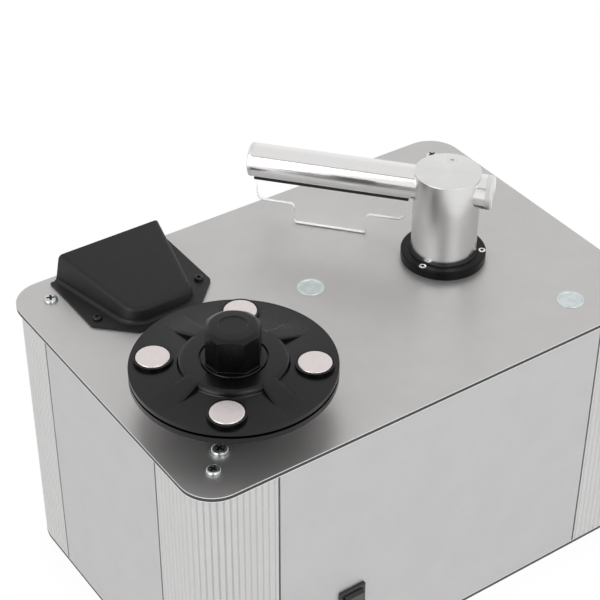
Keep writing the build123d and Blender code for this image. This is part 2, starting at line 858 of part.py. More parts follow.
with BuildPart() as spindle:
    with BuildSketch(radial(spindle_x, spindle_y, panel_top)):
        with BuildLine():
            Polyline(
                (0, gearbox_top - spindle_engagement + spindle_end_gap - panel_top),
                (spindle_radius, gearbox_top - spindle_engagement + spindle_end_gap - panel_top),
                (spindle_radius, platter_height - spindle_cover),
                (spindle_pin_radius, platter_height - spindle_cover),
                (spindle_pin_radius, platter_height + spindle_pin_height - spindle_pin_taper),
                (
                    spindle_pin_radius - spindle_pin_taper / 2,
                    platter_height + spindle_pin_height,
                ),
                (0, platter_height + spindle_pin_height),
                close=True,
            )
        make_face()
    revolve(axis=spindle_axis)
spindle.part.label = "spindle"
export_step(spindle.part, "parts/spindle.step")

with BuildPart() as platter:
    with BuildSketch(radial(spindle_x, spindle_y, panel_top)):
        with BuildLine():
            Polyline(
                (spindle_radius + seat_clearance, platter_bottom),
                (platter_hub_radius, platter_bottom),
                (platter_hub_radius, platter_height - platter_web),
                (platter_radius - platter_rim_width, platter_height - platter_web),
                (platter_radius - platter_rim_width, platter_height - platter_rim),
                (platter_radius, platter_height - platter_rim),
                (platter_radius, platter_height),
                (seal_outer_radius, platter_height),
                (seal_outer_radius, platter_height - seal_seat),
                (seal_inner_radius, platter_height - seal_seat),
                (seal_inner_radius, platter_height),
                (spindle_pin_radius + seat_clearance, platter_height),
                (spindle_pin_radius + seat_clearance, platter_height - spindle_cover),
                (spindle_radius + seat_clearance, platter_height - spindle_cover),
                close=True,
            )
        make_face()
    revolve(axis=spindle_axis)
    fillet(edges().filter_by(GeomType.CIRCLE).group_by(SortBy.RADIUS)[-1], disc_edge_radius)
    with BuildSketch(level(spindle_x, spindle_y, platter_top - platter_web, clamp_phase)):
        with PolarLocations(magnet_ring_radius, magnet_count):
            Circle(platter_magnet_radius + seat_clearance)
    extrude(amount=platter_magnet_height, mode=Mode.SUBTRACT)
platter.part.label = "platter"
export_step(platter.part, "parts/platter.step")

with BuildPart() as platter_seal:
    with BuildSketch(level(spindle_x, spindle_y, platter_top - seal_seat)):
        Circle(seal_outer_radius)
        Circle(seal_inner_radius, mode=Mode.SUBTRACT)
    extrude(amount=seal_seat + rim_gap / 2)
platter_seal.part.label = "platter_seal"
export_step(platter_seal.part, "parts/platter_seal.step")

with BuildPart() as platter_magnets:
    with BuildSketch(level(spindle_x, spindle_y, platter_top - platter_web, clamp_phase)):
        with PolarLocations(magnet_ring_radius, magnet_count):
            Circle(platter_magnet_radius)
    extrude(amount=platter_magnet_height)
platter_magnets.part.label = "platter_magnets"
export_step(platter_magnets.part, "parts/platter_magnets.step")

# ---------------------------------------------------------------- label clamp

clamp_bottom = platter_top + rim_gap
clamp_rim_top = clamp_rim
clamp_hub_top = clamp_rim + clamp_hub_height
well_floor = clamp_hub_top - clamp_well_depth
magnet_top = clamp_rim + magnet_stand
boss_top = magnet_top - magnet_boss_drop
floor_inner = clamp_rim + clamp_floor_rise
clamp_bore = spindle_pin_radius + running_clearance
half_spoke = spoke_angle / 2

with BuildPart() as clamp_disc:
    with BuildSketch(radial(spindle_x, spindle_y, clamp_bottom)):
        with BuildLine():
            Polyline(
                (clamp_bore, clamp_recess_depth),
                (clamp_recess_radius, clamp_recess_depth),
                (clamp_recess_radius, 0),
                (seal_inner_radius, 0),
                (seal_inner_radius, seal_seat),
                (seal_outer_radius, seal_seat),
                (seal_outer_radius, 0),
                (platter_radius, 0),
                (platter_radius, clamp_rim_top),
                (platter_radius - clamp_floor_rise, clamp_rim_top),
                (clamp_hub_radius, floor_inner),
                (clamp_hub_radius, clamp_hub_top - clamp_hub_edge),
                (clamp_hub_radius - clamp_hub_edge, clamp_hub_top),
                (clamp_well_radius, clamp_hub_top),
                (clamp_well_radius, well_floor),
                (clamp_bore, well_floor),
                close=True,
            )
        make_face()
    revolve(axis=spindle_axis)
    fillet(edges().filter_by(GeomType.CIRCLE).group_by(SortBy.RADIUS)[-1], disc_edge_radius)
    for quarter in range(magnet_count):
        spoke_start = clamp_phase + (quarter + 0.5) * 360 / magnet_count - half_spoke
        with BuildSketch(radial(spindle_x, spindle_y, clamp_bottom, spoke_start)):
            with BuildLine():
                Polyline(
                    (clamp_well_radius + clamp_well_depth, clamp_rim),
                    (spoke_end_radius, clamp_rim),
                    (clamp_hub_radius, clamp_hub_top),
                    (clamp_well_radius + clamp_well_depth, clamp_hub_top),
                    close=True,
                )
            make_face()
        revolve(axis=spindle_axis, revolution_arc=-spoke_angle)
    with BuildSketch(level(spindle_x, spindle_y, clamp_bottom + clamp_rim, clamp_phase)):
        with PolarLocations(magnet_ring_radius, magnet_count):
            Circle(magnet_boss_radius)
    extrude(amount=boss_top - clamp_rim)
    with BuildSketch(level(spindle_x, spindle_y, clamp_bottom + boss_top, clamp_phase)):
        with PolarLocations(magnet_ring_radius, magnet_count):
            Circle(magnet_radius + magnet_groove)
    extrude(amount=magnet_top - magnet_height - boss_top, mode=Mode.SUBTRACT)
    with BuildSketch(level(spindle_x, spindle_y, clamp_bottom)):
        with PolarLocations(knob_screw_ring_radius, knob_screw_count):
            Circle(knob_screw_radius + screw_clearance)
    extrude(amount=well_floor, mode=Mode.SUBTRACT)
clamp_disc.part.label = "clamp_disc"
export_step(clamp_disc.part, "parts/clamp_disc.step")

with BuildPart() as clamp_seal:
    with BuildSketch(level(spindle_x, spindle_y, clamp_bottom + seal_seat)):
        Circle(seal_outer_radius)
        Circle(seal_inner_radius, mode=Mode.SUBTRACT)
    extrude(amount=-(seal_seat + rim_gap / 2))
clamp_seal.part.label = "clamp_seal"
export_step(clamp_seal.part, "parts/clamp_seal.step")

with BuildPart() as clamp_magnets:
    with BuildSketch(level(spindle_x, spindle_y, clamp_bottom + magnet_top, clamp_phase)):
        with PolarLocations(magnet_ring_radius, magnet_count):
            Circle(magnet_radius)
    extrude(amount=-magnet_height)
    fillet(edges().group_by(Axis.Z)[-1], magnet_edge_radius)
clamp_magnets.part.label = "clamp_magnets"
export_step(clamp_magnets.part, "parts/clamp_magnets.step")

knob_flange_top = clamp_hub_top + knob_flange_rise
knob_top = knob_flange_top + knob_height
knob_half = knob_across_flats / 2
knob_vertex = sqrt(knob_half**2 + (knob_half - knob_corner_cut) ** 2)
knob_cone_drop = knob_dome_drop + (knob_vertex - knob_chamfer_start) * tan(radians(knob_chamfer_angle))

with BuildPart() as clamp_knob:
    with BuildSketch(level(spindle_x, spindle_y, clamp_bottom + knob_flange_top, clamp_phase)):
        Rectangle(knob_across_flats, knob_across_flats)
        chamfer(vertices(), knob_corner_cut)
    extrude(amount=knob_height)
    with BuildSketch(radial(spindle_x, spindle_y, clamp_bottom)):
        with BuildLine():
            Polyline(
                (0, knob_flange_top),
                (knob_vertex, knob_flange_top),
                (knob_vertex, knob_top - knob_cone_drop),
                (knob_chamfer_start, knob_top - knob_dome_drop),
                (knob_dish_radius, knob_top),
                (knob_dish_radius - knob_dish_depth, knob_top - knob_dish_depth),
                (0, knob_top - knob_dish_depth),
                close=True,
            )
        make_face()
    revolve(axis=spindle_axis, mode=Mode.INTERSECT)
    with BuildSketch(level(spindle_x, spindle_y, clamp_bottom + knob_flange_top, clamp_phase)):
        Rectangle(knob_across_flats + 2 * knob_lip, knob_across_flats + 2 * knob_lip)
        chamfer(vertices(), knob_corner_cut)
    extrude(amount=knob_lip_height)
    with BuildSketch(level(spindle_x, spindle_y, clamp_bottom + well_floor)):
        Circle(knob_flange_radius)
    extrude(amount=knob_flange_top - well_floor)
    fillet(
        edges().filter_by(GeomType.CIRCLE).group_by(SortBy.RADIUS)[-1].sort_by(Axis.Z)[-1],
        knob_edge_radius,
    )
    with BuildSketch(level(spindle_x, spindle_y, clamp_bottom + well_floor)):
        Circle(spindle_pin_radius + knob_bore_clearance)
    extrude(amount=knob_bore_depth, mode=Mode.SUBTRACT)
    with BuildSketch(level(spindle_x, spindle_y, clamp_bottom + well_floor)):
        with PolarLocations(knob_screw_ring_radius, knob_screw_count):
            Circle(knob_screw_radius + seat_clearance)
    extrude(amount=knob_screw_length, mode=Mode.SUBTRACT)
clamp_knob.part.label = "clamp_knob"
export_step(clamp_knob.part, "parts/clamp_knob.step")

with BuildPart() as knob_screws:
    with Locations((spindle_x, spindle_y, clamp_bottom + clamp_recess_depth)):
        with PolarLocations(knob_screw_ring_radius, knob_screw_count):
            Cylinder(knob_screw_radius, knob_screw_length, align=(Align.CENTER, Align.CENTER, Align.MIN))
            Cylinder(
                knob_screw_head_radius,
                knob_screw_head_height,
                align=(Align.CENTER, Align.CENTER, Align.MAX),
            )
knob_screws.part.label = "knob_screws"
export_step(knob_screws.part, "parts/knob_screws.step")

# ---------------------------------------------------------------- arm guide and collar

column_bottom = -column_reach
sleeve_bore = column_radius + running_clearance
sleeve_radius = sleeve_bore + sleeve_wall
guide_bore = sleeve_radius + running_clearance
guide_bottom = -sheet_thickness - guide_depth
guide_floor_top = guide_bottom + guide_floor
sleeve_bottom = guide_floor_top + guide_lip_height + sleeve_end_gap
sleeve_top = -sheet_thickness - sleeve_end_gap
sleeve_floor_top = sleeve_bottom + sleeve_floor
spring_clear_bore = spring_mean_radius - 2 * spring_wire_radius
air_gap = column_radius + collar_clearance
wiper_radius = sleeve_bore + wiper_width
wiper_seat = collar_height + wiper_stand - wiper_height

with BuildPart() as arm_guide:
    with BuildSketch(radial(arm_x, arm_y, panel_top)):
        with BuildLine():
            Polyline(
                (guide_bore, -sheet_thickness),
                (guide_flange_radius, -sheet_thickness),
                (guide_flange_radius, -sheet_thickness - guide_flange_height),
                (guide_bore + guide_wall, -sheet_thickness - guide_flange_height),
                (guide_bore + guide_wall, guide_bottom),
                (hose_port_radius, guide_bottom),
                (hose_port_radius, guide_bottom - guide_spigot_length),
                (hose_port_bore, guide_bottom - guide_spigot_length),
                (hose_port_bore, guide_floor_top),
                (spring_clear_bore, guide_floor_top),
                (spring_clear_bore, guide_floor_top + guide_lip_height),
                (guide_bore, guide_floor_top + guide_lip_height),
                close=True,
            )
        make_face()
    revolve(axis=arm_axis)
    with BuildSketch(level(arm_x, arm_y, profile_top)):
        with PolarLocations(collar_screw_ring_radius, collar_screw_count, collar_screw_angle):
            Circle(collar_screw_radius + seat_clearance)
    extrude(amount=-(collar_screw_length - collar_height - sheet_thickness), mode=Mode.SUBTRACT)
arm_guide.part.label = "arm_guide"
export_step(arm_guide.part, "parts/arm_guide.step")

with BuildPart() as arm_collar:
    with BuildSketch(radial(arm_x, arm_y, panel_top)):
        with BuildLine():
            Polyline(
                (air_gap, 0),
                (collar_radius, 0),
                (collar_radius, collar_height - collar_chamfer),
                (collar_radius - collar_chamfer, collar_height),
                (wiper_radius + seat_clearance, collar_height),
                (wiper_radius + seat_clearance, wiper_seat),
                (air_gap, wiper_seat),
                close=True,
            )
        make_face()
    revolve(axis=arm_axis)
    with Locations((arm_x, arm_y, panel_top + collar_height)):
        with PolarLocations(collar_screw_ring_radius, collar_screw_count, collar_screw_angle):
            CounterSinkHole(
                collar_screw_radius + screw_clearance, collar_screw_head_radius + screw_clearance
            )
arm_collar.part.label = "arm_collar"
export_step(arm_collar.part, "parts/arm_collar.step")

with BuildPart() as collar_screws:
    with Locations((arm_x, arm_y, panel_top + collar_height)):
        with PolarLocations(collar_screw_ring_radius, collar_screw_count, collar_screw_angle):
            Cylinder(
                collar_screw_radius, collar_screw_length, align=(Align.CENTER, Align.CENTER, Align.MAX)
            )
            Cone(
                collar_screw_radius,
                collar_screw_head_radius,
                collar_screw_head_radius - collar_screw_radius,
                align=(Align.CENTER, Align.CENTER, Align.MAX),
            )
collar_screws.part.label = "collar_screws"
export_step(collar_screws.part, "parts/collar_screws.step")

with BuildPart() as column_wiper:
    with BuildSketch(level(arm_x, arm_y, panel_top + wiper_seat)):
        Circle(wiper_radius)
        Circle(sleeve_bore, mode=Mode.SUBTRACT)
    extrude(amount=wiper_height)
column_wiper.part.label = "column_wiper"
export_step(column_wiper.part, "parts/column_wiper.step")

# ---------------------------------------------------------------- swivel sleeve and spring

with BuildPart() as swivel_sleeve:
    with BuildSketch(radial(arm_x, arm_y, panel_top)):
        with BuildLine():
            Polyline(
                (spring_clear_bore, sleeve_bottom),
                (sleeve_radius, sleeve_bottom),
                (sleeve_radius, sleeve_top),
                (sleeve_bore, sleeve_top),
                (sleeve_bore, sleeve_floor_top),
                (spring_clear_bore, sleeve_floor_top),
                close=True,
            )
        make_face()
    revolve(axis=arm_axis)
    with BuildSketch(level(arm_x, arm_y, panel_top - key_bottom_drop, arm_park_angle)):
        with Locations((-sleeve_bore - sleeve_wall / 2, 0)):
            Rectangle(
                key_depth + sleeve_wall / 2, key_width, align=(Align.MIN, Align.CENTER)
            )
    extrude(amount=key_bottom_drop - key_top_drop)
swivel_sleeve.part.label = "swivel_sleeve"
export_step(swivel_sleeve.part, "parts/swivel_sleeve.step")

spring_bottom = sleeve_floor_top + spring_wire_radius + spring_end_gap
spring_height = column_bottom - spring_wire_radius - spring_end_gap - spring_bottom

with BuildPart() as lift_spring:
    with BuildLine():
        coil = Helix(
            pitch=spring_height / spring_turns,
            height=spring_height,
            radius=spring_mean_radius,
            center=(arm_x, arm_y, panel_top + spring_bottom),
        )
    with BuildSketch(Plane(origin=coil @ 0, z_dir=coil % 0)):
        Circle(spring_wire_radius)
    sweep(is_frenet=True)
lift_spring.part.label = "lift_spring"
export_step(lift_spring.part, "parts/lift_spring.step")

# ---------------------------------------------------------------- vacuum arm

bore_top = column_height - column_top_wall
tube_start = tube_plug_length - tube_tail
tube_end = tube_reach - tube_cap_length
tube_bore = tube_radius - tube_wall
flat_start = slot_start - slot_end_margin
flat_drop = sqrt(tube_radius**2 - (tube_flat_width / 2) ** 2)
slot_end = tube_reach - slot_end_margin

with BuildPart() as arm_column:
    with BuildSketch(radial(arm_x, arm_y, panel_top)):
        with BuildLine():
            Polyline(
                (0, bore_top),
                (column_bore_radius, bore_top),
                (column_bore_radius, column_bottom),
                (column_radius, column_bottom),
                (column_radius, column_height - column_chamfer),
                (column_radius - column_chamfer, column_height),
                (0, column_height),
                close=True,
            )
        make_face()
    revolve(axis=arm_axis)
    with BuildSketch(along_arm(0)):
        Circle(tube_radius + seat_clearance)
    extrude(amount=column_radius + column_chamfer, both=True, mode=Mode.SUBTRACT)
    with BuildSketch(level(arm_x, arm_y, panel_top + bore_top)):
        Circle(tube_air_hole_radius)
    extrude(amount=tube_axis_height - bore_top, mode=Mode.SUBTRACT)
    with BuildSketch(level(arm_x, arm_y, panel_top + column_bottom, arm_park_angle)):
        with Locations((-column_radius - key_clearance, 0)):
            Rectangle(
                key_depth + 2 * key_clearance, key_width + 2 * key_clearance, align=(Align.MIN, Align.CENTER)
            )
    extrude(amount=keyway_top_height - column_bottom, mode=Mode.SUBTRACT)
    with Locations(level(arm_x, arm_y, panel_top + column_height, arm_park_angle)):
        with Locations((0, -lock_screw_offset)):
            CounterSinkHole(
                lock_screw_radius + seat_clearance,
                lock_screw_head_radius + seat_clearance,
                depth=lock_screw_depth,
            )
arm_column.part.label = "arm_column"
export_step(arm_column.part, "parts/arm_column.step")

with BuildPart() as arm_tube:
    with BuildSketch(along_arm(tube_start)):
        Circle(tube_radius)
        Circle(tube_bore, mode=Mode.SUBTRACT)
    extrude(amount=tube_end - tube_start)
    with BuildSketch(along_arm(flat_start)):
        with Locations((0, -flat_drop)):
            Rectangle(tube_flat_width, tube_radius, align=(Align.CENTER, Align.MAX))
    extrude(amount=tube_end - flat_start, mode=Mode.SUBTRACT)
    with BuildSketch(level(arm_x, arm_y, panel_top + bore_top, arm_park_angle)):
        Circle(tube_air_hole_radius)
        with Locations(((slot_start + slot_end) / 2, 0)):
            SlotOverall(slot_end - slot_start, slot_width)
    extrude(amount=tube_axis_height - bore_top, mode=Mode.SUBTRACT)
arm_tube.part.label = "arm_tube"
export_step(arm_tube.part, "parts/arm_tube.step")

with BuildPart() as tube_end_cap:
    with BuildSketch(along_arm(tube_end)):
        Circle(tube_radius)
    extrude(amount=tube_cap_length)
    chamfer(edges().sort_by(Axis(along_arm(0).origin, along_arm(0).z_dir))[-1], tube_edge_chamfer)
    with BuildSketch(along_arm(tube_end)):
        Circle(tube_bore - seat_clearance)
        with Locations((0, -flat_drop)):
            Rectangle(tube_flat_width, tube_radius, align=(Align.CENTER, Align.MAX), mode=Mode.SUBTRACT)
    extrude(amount=-tube_spigot_length)
tube_end_cap.part.label = "tube_end_cap"
export_step(tube_end_cap.part, "parts/tube_end_cap.step")

with BuildPart() as tube_rear_plug:
    with BuildSketch(along_arm(tube_start)):
        Circle(tube_radius)
    extrude(amount=-tube_plug_length)
    chamfer(edges().sort_by(Axis(along_arm(0).origin, along_arm(0).z_dir))[0], tube_edge_chamfer)
    with BuildSketch(along_arm(tube_start)):
        Circle(tube_bore - seat_clearance)
    extrude(amount=tube_spigot_length)
tube_rear_plug.part.label = "tube_rear_plug"
export_step(tube_rear_plug.part, "parts/tube_rear_plug.step")

strip_width = (tube_flat_width - slot_width) / 2

with BuildPart() as velvet_strips:
    with BuildSketch(along_arm(flat_start + velvet_end_margin)):
        for side in (-1, 1):
            with Locations((side * (slot_width + strip_width) / 2, -flat_drop)):
                Rectangle(strip_width, velvet_thickness, align=(Align.CENTER, Align.MAX))
    extrude(amount=tube_end - flat_start - 2 * velvet_end_margin)
velvet_strips.part.label = "velvet_strips"
export_step(velvet_strips.part, "parts/velvet_strips.step")

with BuildPart() as tube_lock_screw:
    with Locations(level(arm_x, arm_y, panel_top + column_height, arm_park_angle)):
        with Locations((0, -lock_screw_offset)):
            Cylinder(lock_screw_radius, lock_screw_depth, align=(Align.CENTER, Align.CENTER, Align.MAX))
            Cone(
                lock_screw_radius,
                lock_screw_head_radius,
                lock_screw_head_radius - lock_screw_radius,
                align=(Align.CENTER, Align.CENTER, Align.MAX),
            )
    with BuildSketch(level(arm_x, arm_y, panel_top + column_height, arm_park_angle)):
        with Locations((0, -lock_screw_offset)):
            RegularPolygon(hex_key_width / sqrt(3), 6)
    extrude(amount=-hex_key_depth, mode=Mode.SUBTRACT)
tube_lock_screw.part.label = "tube_lock_screw"
export_step(tube_lock_screw.part, "parts/tube_lock_screw.step")

with BuildPart() as arm_stop_plate:
    with BuildSketch(radial(plate_x, plate_y, panel_top, arm_park_angle)):
        with Locations((0, (plate_wing_height + plate_top_height) / 2)):
            RectangleRounded(
                2 * plate_half_length, plate_top_height - plate_wing_height, plate_corner_radius
            )
        with Locations((0, plate_wing_height)):
            Rectangle(
                2 * plate_tab_half_length, plate_wing_height, align=(Align.CENTER, Align.MAX)
            )
        fillet(vertices().group_by(Axis.Y)[0], plate_tab_radius)
        for side in (-1, 1):
            with Locations((side * plate_peg_half_spacing, 0)):
                Rectangle(plate_peg_width, plate_peg_depth, align=(Align.CENTER, Align.MAX))
    extrude(amount=plate_thickness / 2, both=True)
arm_stop_plate.part.label = "arm_stop_plate"
export_step(arm_stop_plate.part, "parts/arm_stop_plate.step")

# ---------------------------------------------------------------- vacuum motor

ring_radius = vacuum_can_radius + mount_ring_wall
can_top = -sheet_thickness - mount_ring_floor
can_bottom = can_top - vacuum_can_height
fan_bottom = can_bottom - fan_height
intake_bottom = fan_bottom - intake_height

with BuildPart() as vacuum_mount_ring:
    with BuildSketch(radial(vacuum_x, vacuum_y, panel_top)):
        with BuildLine():
            Polyline(
                (mount_ring_bore, -sheet_thickness),
                (ring_radius, -sheet_thickness),
                (ring_radius, -sheet_thickness - mount_ring_height),
                (vacuum_can_radius + seat_clearance, -sheet_thickness - mount_ring_height),
                (vacuum_can_radius + seat_clearance, can_top),
                (mount_ring_bore, can_top),
                close=True,
            )
        make_face()
    revolve(axis=vacuum_axis)
    with BuildSketch(Plane.XY.offset(profile_top)):
        with Locations(*hood_screw_points):
            Circle(hood_screw_radius + seat_clearance)
    extrude(amount=-mount_ring_floor, mode=Mode.SUBTRACT)
vacuum_mount_ring.part.label = "vacuum_mount_ring"
export_step(vacuum_mount_ring.part, "parts/vacuum_mount_ring.step")

with BuildPart() as vacuum_motor:
    with BuildSketch(level(vacuum_x, vacuum_y, panel_top + can_top)):
        Circle(vacuum_can_radius)
    extrude(amount=-vacuum_can_height)
    with BuildSketch(level(vacuum_x, vacuum_y, panel_top + can_top)):
        with PolarLocations(mount_ring_bore - motor_vent_radius - motor_vent_inset, motor_vent_count):
            Circle(motor_vent_radius)
    extrude(amount=-motor_vent_depth, mode=Mode.SUBTRACT)
vacuum_motor.part.label = "vacuum_motor"
export_step(vacuum_motor.part, "parts/vacuum_motor.step")

with BuildPart() as fan_housing:
    with BuildSketch(radial(vacuum_x, vacuum_y, panel_top)):
        with BuildLine():
            Polyline(
                (0, can_bottom),
                (fan_radius, can_bottom),
                (fan_radius, fan_bottom),
                (hose_port_radius, fan_bottom),
                (hose_port_radius, intake_bottom),
                (hose_port_bore, intake_bottom),
                (hose_port_bore, fan_bottom),
                (0, fan_bottom),
                close=True,
            )
        make_face()
    revolve(axis=vacuum_axis)
    fillet(edges().filter_by(GeomType.CIRCLE).group_by(SortBy.RADIUS)[-1], fan_edge_radius)
fan_housing.part.label = "fan_housing"
export_step(fan_housing.part, "parts/fan_housing.step")

# ---------------------------------------------------------------- waste tank and its hoses

tank_left = left_edge + tank_left_inset
tank_width = right_edge - tank_right_inset - tank_left
tank_x = tank_left + tank_width / 2
tank_rear_y = rear_edge - tank_rear_inset
tank_depth = tank_rear_y - front_edge - tank_front_inset
tank_y = tank_rear_y - tank_depth / 2
guide_end = panel_top + guide_bottom - guide_spigot_length
tank_port_top = guide_end - tank_port_gap
tank_top = tank_port_top - tank_port_height
outlet_x = left_edge + tank_outlet_inset_x
port_points = [(arm_x, arm_y), (outlet_x, vacuum_y)]

with BuildPart() as waste_tank:
    with BuildSketch(level(tank_x, tank_y, bottom_sheet_top)):
        RectangleRounded(tank_width, tank_depth, tank_corner_radius)
    extrude(amount=tank_top - bottom_sheet_top)
    fillet(faces().sort_by(Axis.Z)[-1].edges(), tank_edge_radius)
    offset(amount=-tank_wall, mode=Mode.SUBTRACT)
    with BuildSketch(Plane.XY.offset(tank_top)):
        with Locations(*port_points):
            Circle(hose_port_radius)
    extrude(amount=tank_port_height)
    with BuildSketch(Plane.XY.offset(tank_port_top)):
        with Locations(*port_points):
            Circle(hose_port_bore)
    extrude(amount=-(tank_port_height + tank_wall), mode=Mode.SUBTRACT)
    with BuildSketch(Plane(origin=(drain_x, tank_rear_y, drain_height), x_dir=(1, 0, 0), z_dir=(0, -1, 0))):
        Circle(drain_radius + seat_clearance)
    extrude(amount=tank_wall, mode=Mode.SUBTRACT)
waste_tank.part.label = "waste_tank"
export_step(waste_tank.part, "parts/waste_tank.step")

hose_radius = hose_port_radius + hose_wall

with BuildPart() as suction_coupling:
    with BuildSketch(level(arm_x, arm_y, tank_port_top - coupling_overlap)):
        Circle(hose_radius)
        Circle(hose_port_radius + seat_clearance, mode=Mode.SUBTRACT)
    extrude(amount=tank_port_gap + 2 * coupling_overlap)
suction_coupling.part.label = "suction_coupling"
export_step(suction_coupling.part, "parts/suction_coupling.step")

hose_start = tank_port_top - coupling_overlap
hose_end = panel_top + intake_bottom + coupling_overlap
hose_drop_x = tank_left - hose_side_gap - hose_radius

with BuildPart() as vacuum_hose:
    with BuildLine():
        FilletPolyline(
            (outlet_x, vacuum_y, hose_start),
            (outlet_x, vacuum_y, tank_port_top + hose_rise),
            (hose_drop_x, vacuum_y, tank_port_top + hose_rise),
            (hose_drop_x, vacuum_y, panel_top + intake_bottom - hose_rise),
            (vacuum_x, vacuum_y, panel_top + intake_bottom - hose_rise),
            (vacuum_x, vacuum_y, hose_end),
            radius=hose_bend_radius,
        )
    with BuildSketch(level(outlet_x, vacuum_y, hose_start)):
        Circle(hose_radius)
        Circle(hose_port_radius + seat_clearance, mode=Mode.SUBTRACT)
    sweep()
vacuum_hose.part.label = "vacuum_hose"
export_step(vacuum_hose.part, "parts/vacuum_hose.step")

# ---------------------------------------------------------------- rear fittings

rear_limit = rear_edge + rear_reach
drain_axis = Axis((drain_x, 0, drain_height), (0, 1, 0))
drain_end = rear_limit - drain_cap_wall - drain_cap_end_gap
rear_section = Plane(origin=(drain_x, 0, drain_height), x_dir=(0, 1, 0), z_dir=(1, 0, 0))

with BuildPart() as drain_spigot:
    with BuildSketch(rear_section):
        with BuildLine():
            Polyline(
                (tank_rear_y - drain_entry, drain_bore),
                (drain_end, drain_bore),
                (drain_end, drain_radius),
                (rear_face + drain_flange_thickness, drain_radius),
                (rear_face + drain_flange_thickness, drain_flange_radius),
                (rear_face, drain_flange_radius),
                (rear_face, drain_radius),
                (tank_rear_y - drain_entry, drain_radius),
                close=True,
            )
        make_face()
    revolve(axis=drain_axis)
drain_spigot.part.label = "drain_spigot"
export_step(drain_spigot.part, "parts/drain_spigot.step")

with BuildPart() as drain_cap:
    with BuildSketch(rear_section):
        with BuildLine():
            Polyline(
                (rear_limit, 0),
                (rear_limit, drain_radius + drain_cap_wall),
                (rear_limit - drain_cap_length, drain_radius + drain_cap_wall),
                (rear_limit - drain_cap_length, drain_radius + running_clearance),
                (rear_limit - drain_cap_wall, drain_radius + running_clearance),
                (rear_limit - drain_cap_wall, 0),
                close=True,
            )
        make_face()
    revolve(axis=drain_axis)
    fillet(edges().group_by(Axis.Y)[-1], drain_cap_edge)
drain_cap.part.label = "drain_cap"
export_step(drain_cap.part, "parts/drain_cap.step")

inlet_face = rear_face + inlet_flange_thickness
inlet_plane = Plane(origin=(inlet_x, inlet_face, inlet_height), x_dir=(1, 0, 0), z_dir=(0, -1, 0))

with BuildPart() as mains_inlet:
    with BuildSketch(inlet_plane):
        RectangleRounded(inlet_flange_width, inlet_flange_height, inlet_flange_thickness)
    extrude(amount=inlet_flange_thickness)
    with BuildSketch(inlet_plane.offset(inlet_flange_thickness)):
        Rectangle(inlet_body_width, inlet_body_height)
    extrude(amount=inlet_body_depth)
    with BuildSketch(inlet_plane):
        Rectangle(inlet_socket_width, inlet_socket_height)
        chamfer(vertices().group_by(Axis.Y)[-1], inlet_socket_cut)
    extrude(amount=inlet_socket_depth, mode=Mode.SUBTRACT)
mains_inlet.part.label = "mains_inlet"
export_step(mains_inlet.part, "parts/mains_inlet.step")

with BuildPart() as inlet_pins:
    with BuildSketch(inlet_plane.offset(inlet_socket_depth)):
        with Locations((-inlet_pin_spacing, 0), (0, inlet_earth_rise), (inlet_pin_spacing, 0)):
            Rectangle(inlet_pin_width, inlet_pin_height)
    extrude(amount=-inlet_pin_length)
inlet_pins.part.label = "inlet_pins"
export_step(inlet_pins.part, "parts/inlet_pins.step")

# ---------------------------------------------------------------- front switches

bezel_face = front_face - switch_bezel_thickness
pivot_y = bezel_face + rocker_pivot_depth
pocket_width = switch_body_width - 2 * switch_wall
rocker_width = pocket_width - 2 * rocker_clearance
pin_half_length = rocker_width / 2 + rocker_pin_reach
lean = radians(rocker_angle)


last_switch_x = switch_x + switch_spacing
front_plane = Plane(origin=(switch_x, front_face, switch_height), x_dir=(1, 0, 0), z_dir=(0, -1, 0))
pivot_plane = radial(last_switch_x, pivot_y, switch_height, -90)
pivot_axis = Axis(pivot_plane.origin, pivot_plane.z_dir)
crest = (rocker_face + rocker_radius * sin(lean)) / cos(lean)

with BuildPart() as vacuum_switch_housing:
    with BuildSketch(front_plane):
        RectangleRounded(switch_bezel_width, switch_bezel_height, switch_wall)
    extrude(amount=switch_bezel_thickness)
    chamfer(faces().sort_by(Axis.Y)[0].edges(), switch_bezel_chamfer)
    with BuildSketch(front_plane):
        Rectangle(switch_body_width, switch_body_height)
    extrude(amount=-switch_body_depth)
    with BuildSketch(front_plane.offset(switch_bezel_thickness)):
        Rectangle(pocket_width, switch_body_height - 2 * switch_wall)
    extrude(amount=-switch_pocket_depth, mode=Mode.SUBTRACT)
    with BuildSketch(radial(switch_x, pivot_y, switch_height, -90)):
        Circle(rocker_pin_radius + running_clearance)
    extrude(amount=pin_half_length + running_clearance, both=True, mode=Mode.SUBTRACT)
vacuum_switch_housing.part.label = "vacuum_switch_housing"
export_step(vacuum_switch_housing.part, "parts/vacuum_switch_housing.step")

with BuildPart() as drive_switch_housing:
    with Locations((last_switch_x - switch_x, 0, 0)):
        add(vacuum_switch_housing.part)
drive_switch_housing.part.label = "drive_switch_housing"
export_step(drive_switch_housing.part, "parts/drive_switch_housing.step")

with BuildPart() as drive_rocker:
    with BuildSketch(pivot_plane):
        Circle(rocker_radius)
        with BuildLine():
            Polyline(
                (-rocker_back, -rocker_radius),
                (crest, -rocker_radius),
                (rocker_face / cos(lean), 0),
                (crest, rocker_radius),
                (-rocker_back, rocker_radius),
                close=True,
            )
        make_face(mode=Mode.INTERSECT)
    extrude(amount=rocker_width / 2, both=True)
    with BuildSketch(pivot_plane):
        Circle(rocker_pin_radius)
    extrude(amount=pin_half_length, both=True)
drive_rocker.part.label = "drive_rocker"
export_step(drive_rocker.part, "parts/drive_rocker.step")

with BuildPart() as vacuum_rocker:
    with Locations((switch_x - last_switch_x, 0, 0)):
        add(drive_rocker.part.rotate(pivot_axis, -rocker_angle))
vacuum_rocker.part.label = "vacuum_rocker"
export_step(vacuum_rocker.part, "parts/vacuum_rocker.step")
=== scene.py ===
from math import cos, pi, radians, sin, sqrt, tan

import bmesh
import bpy
from mathutils import Matrix, Vector


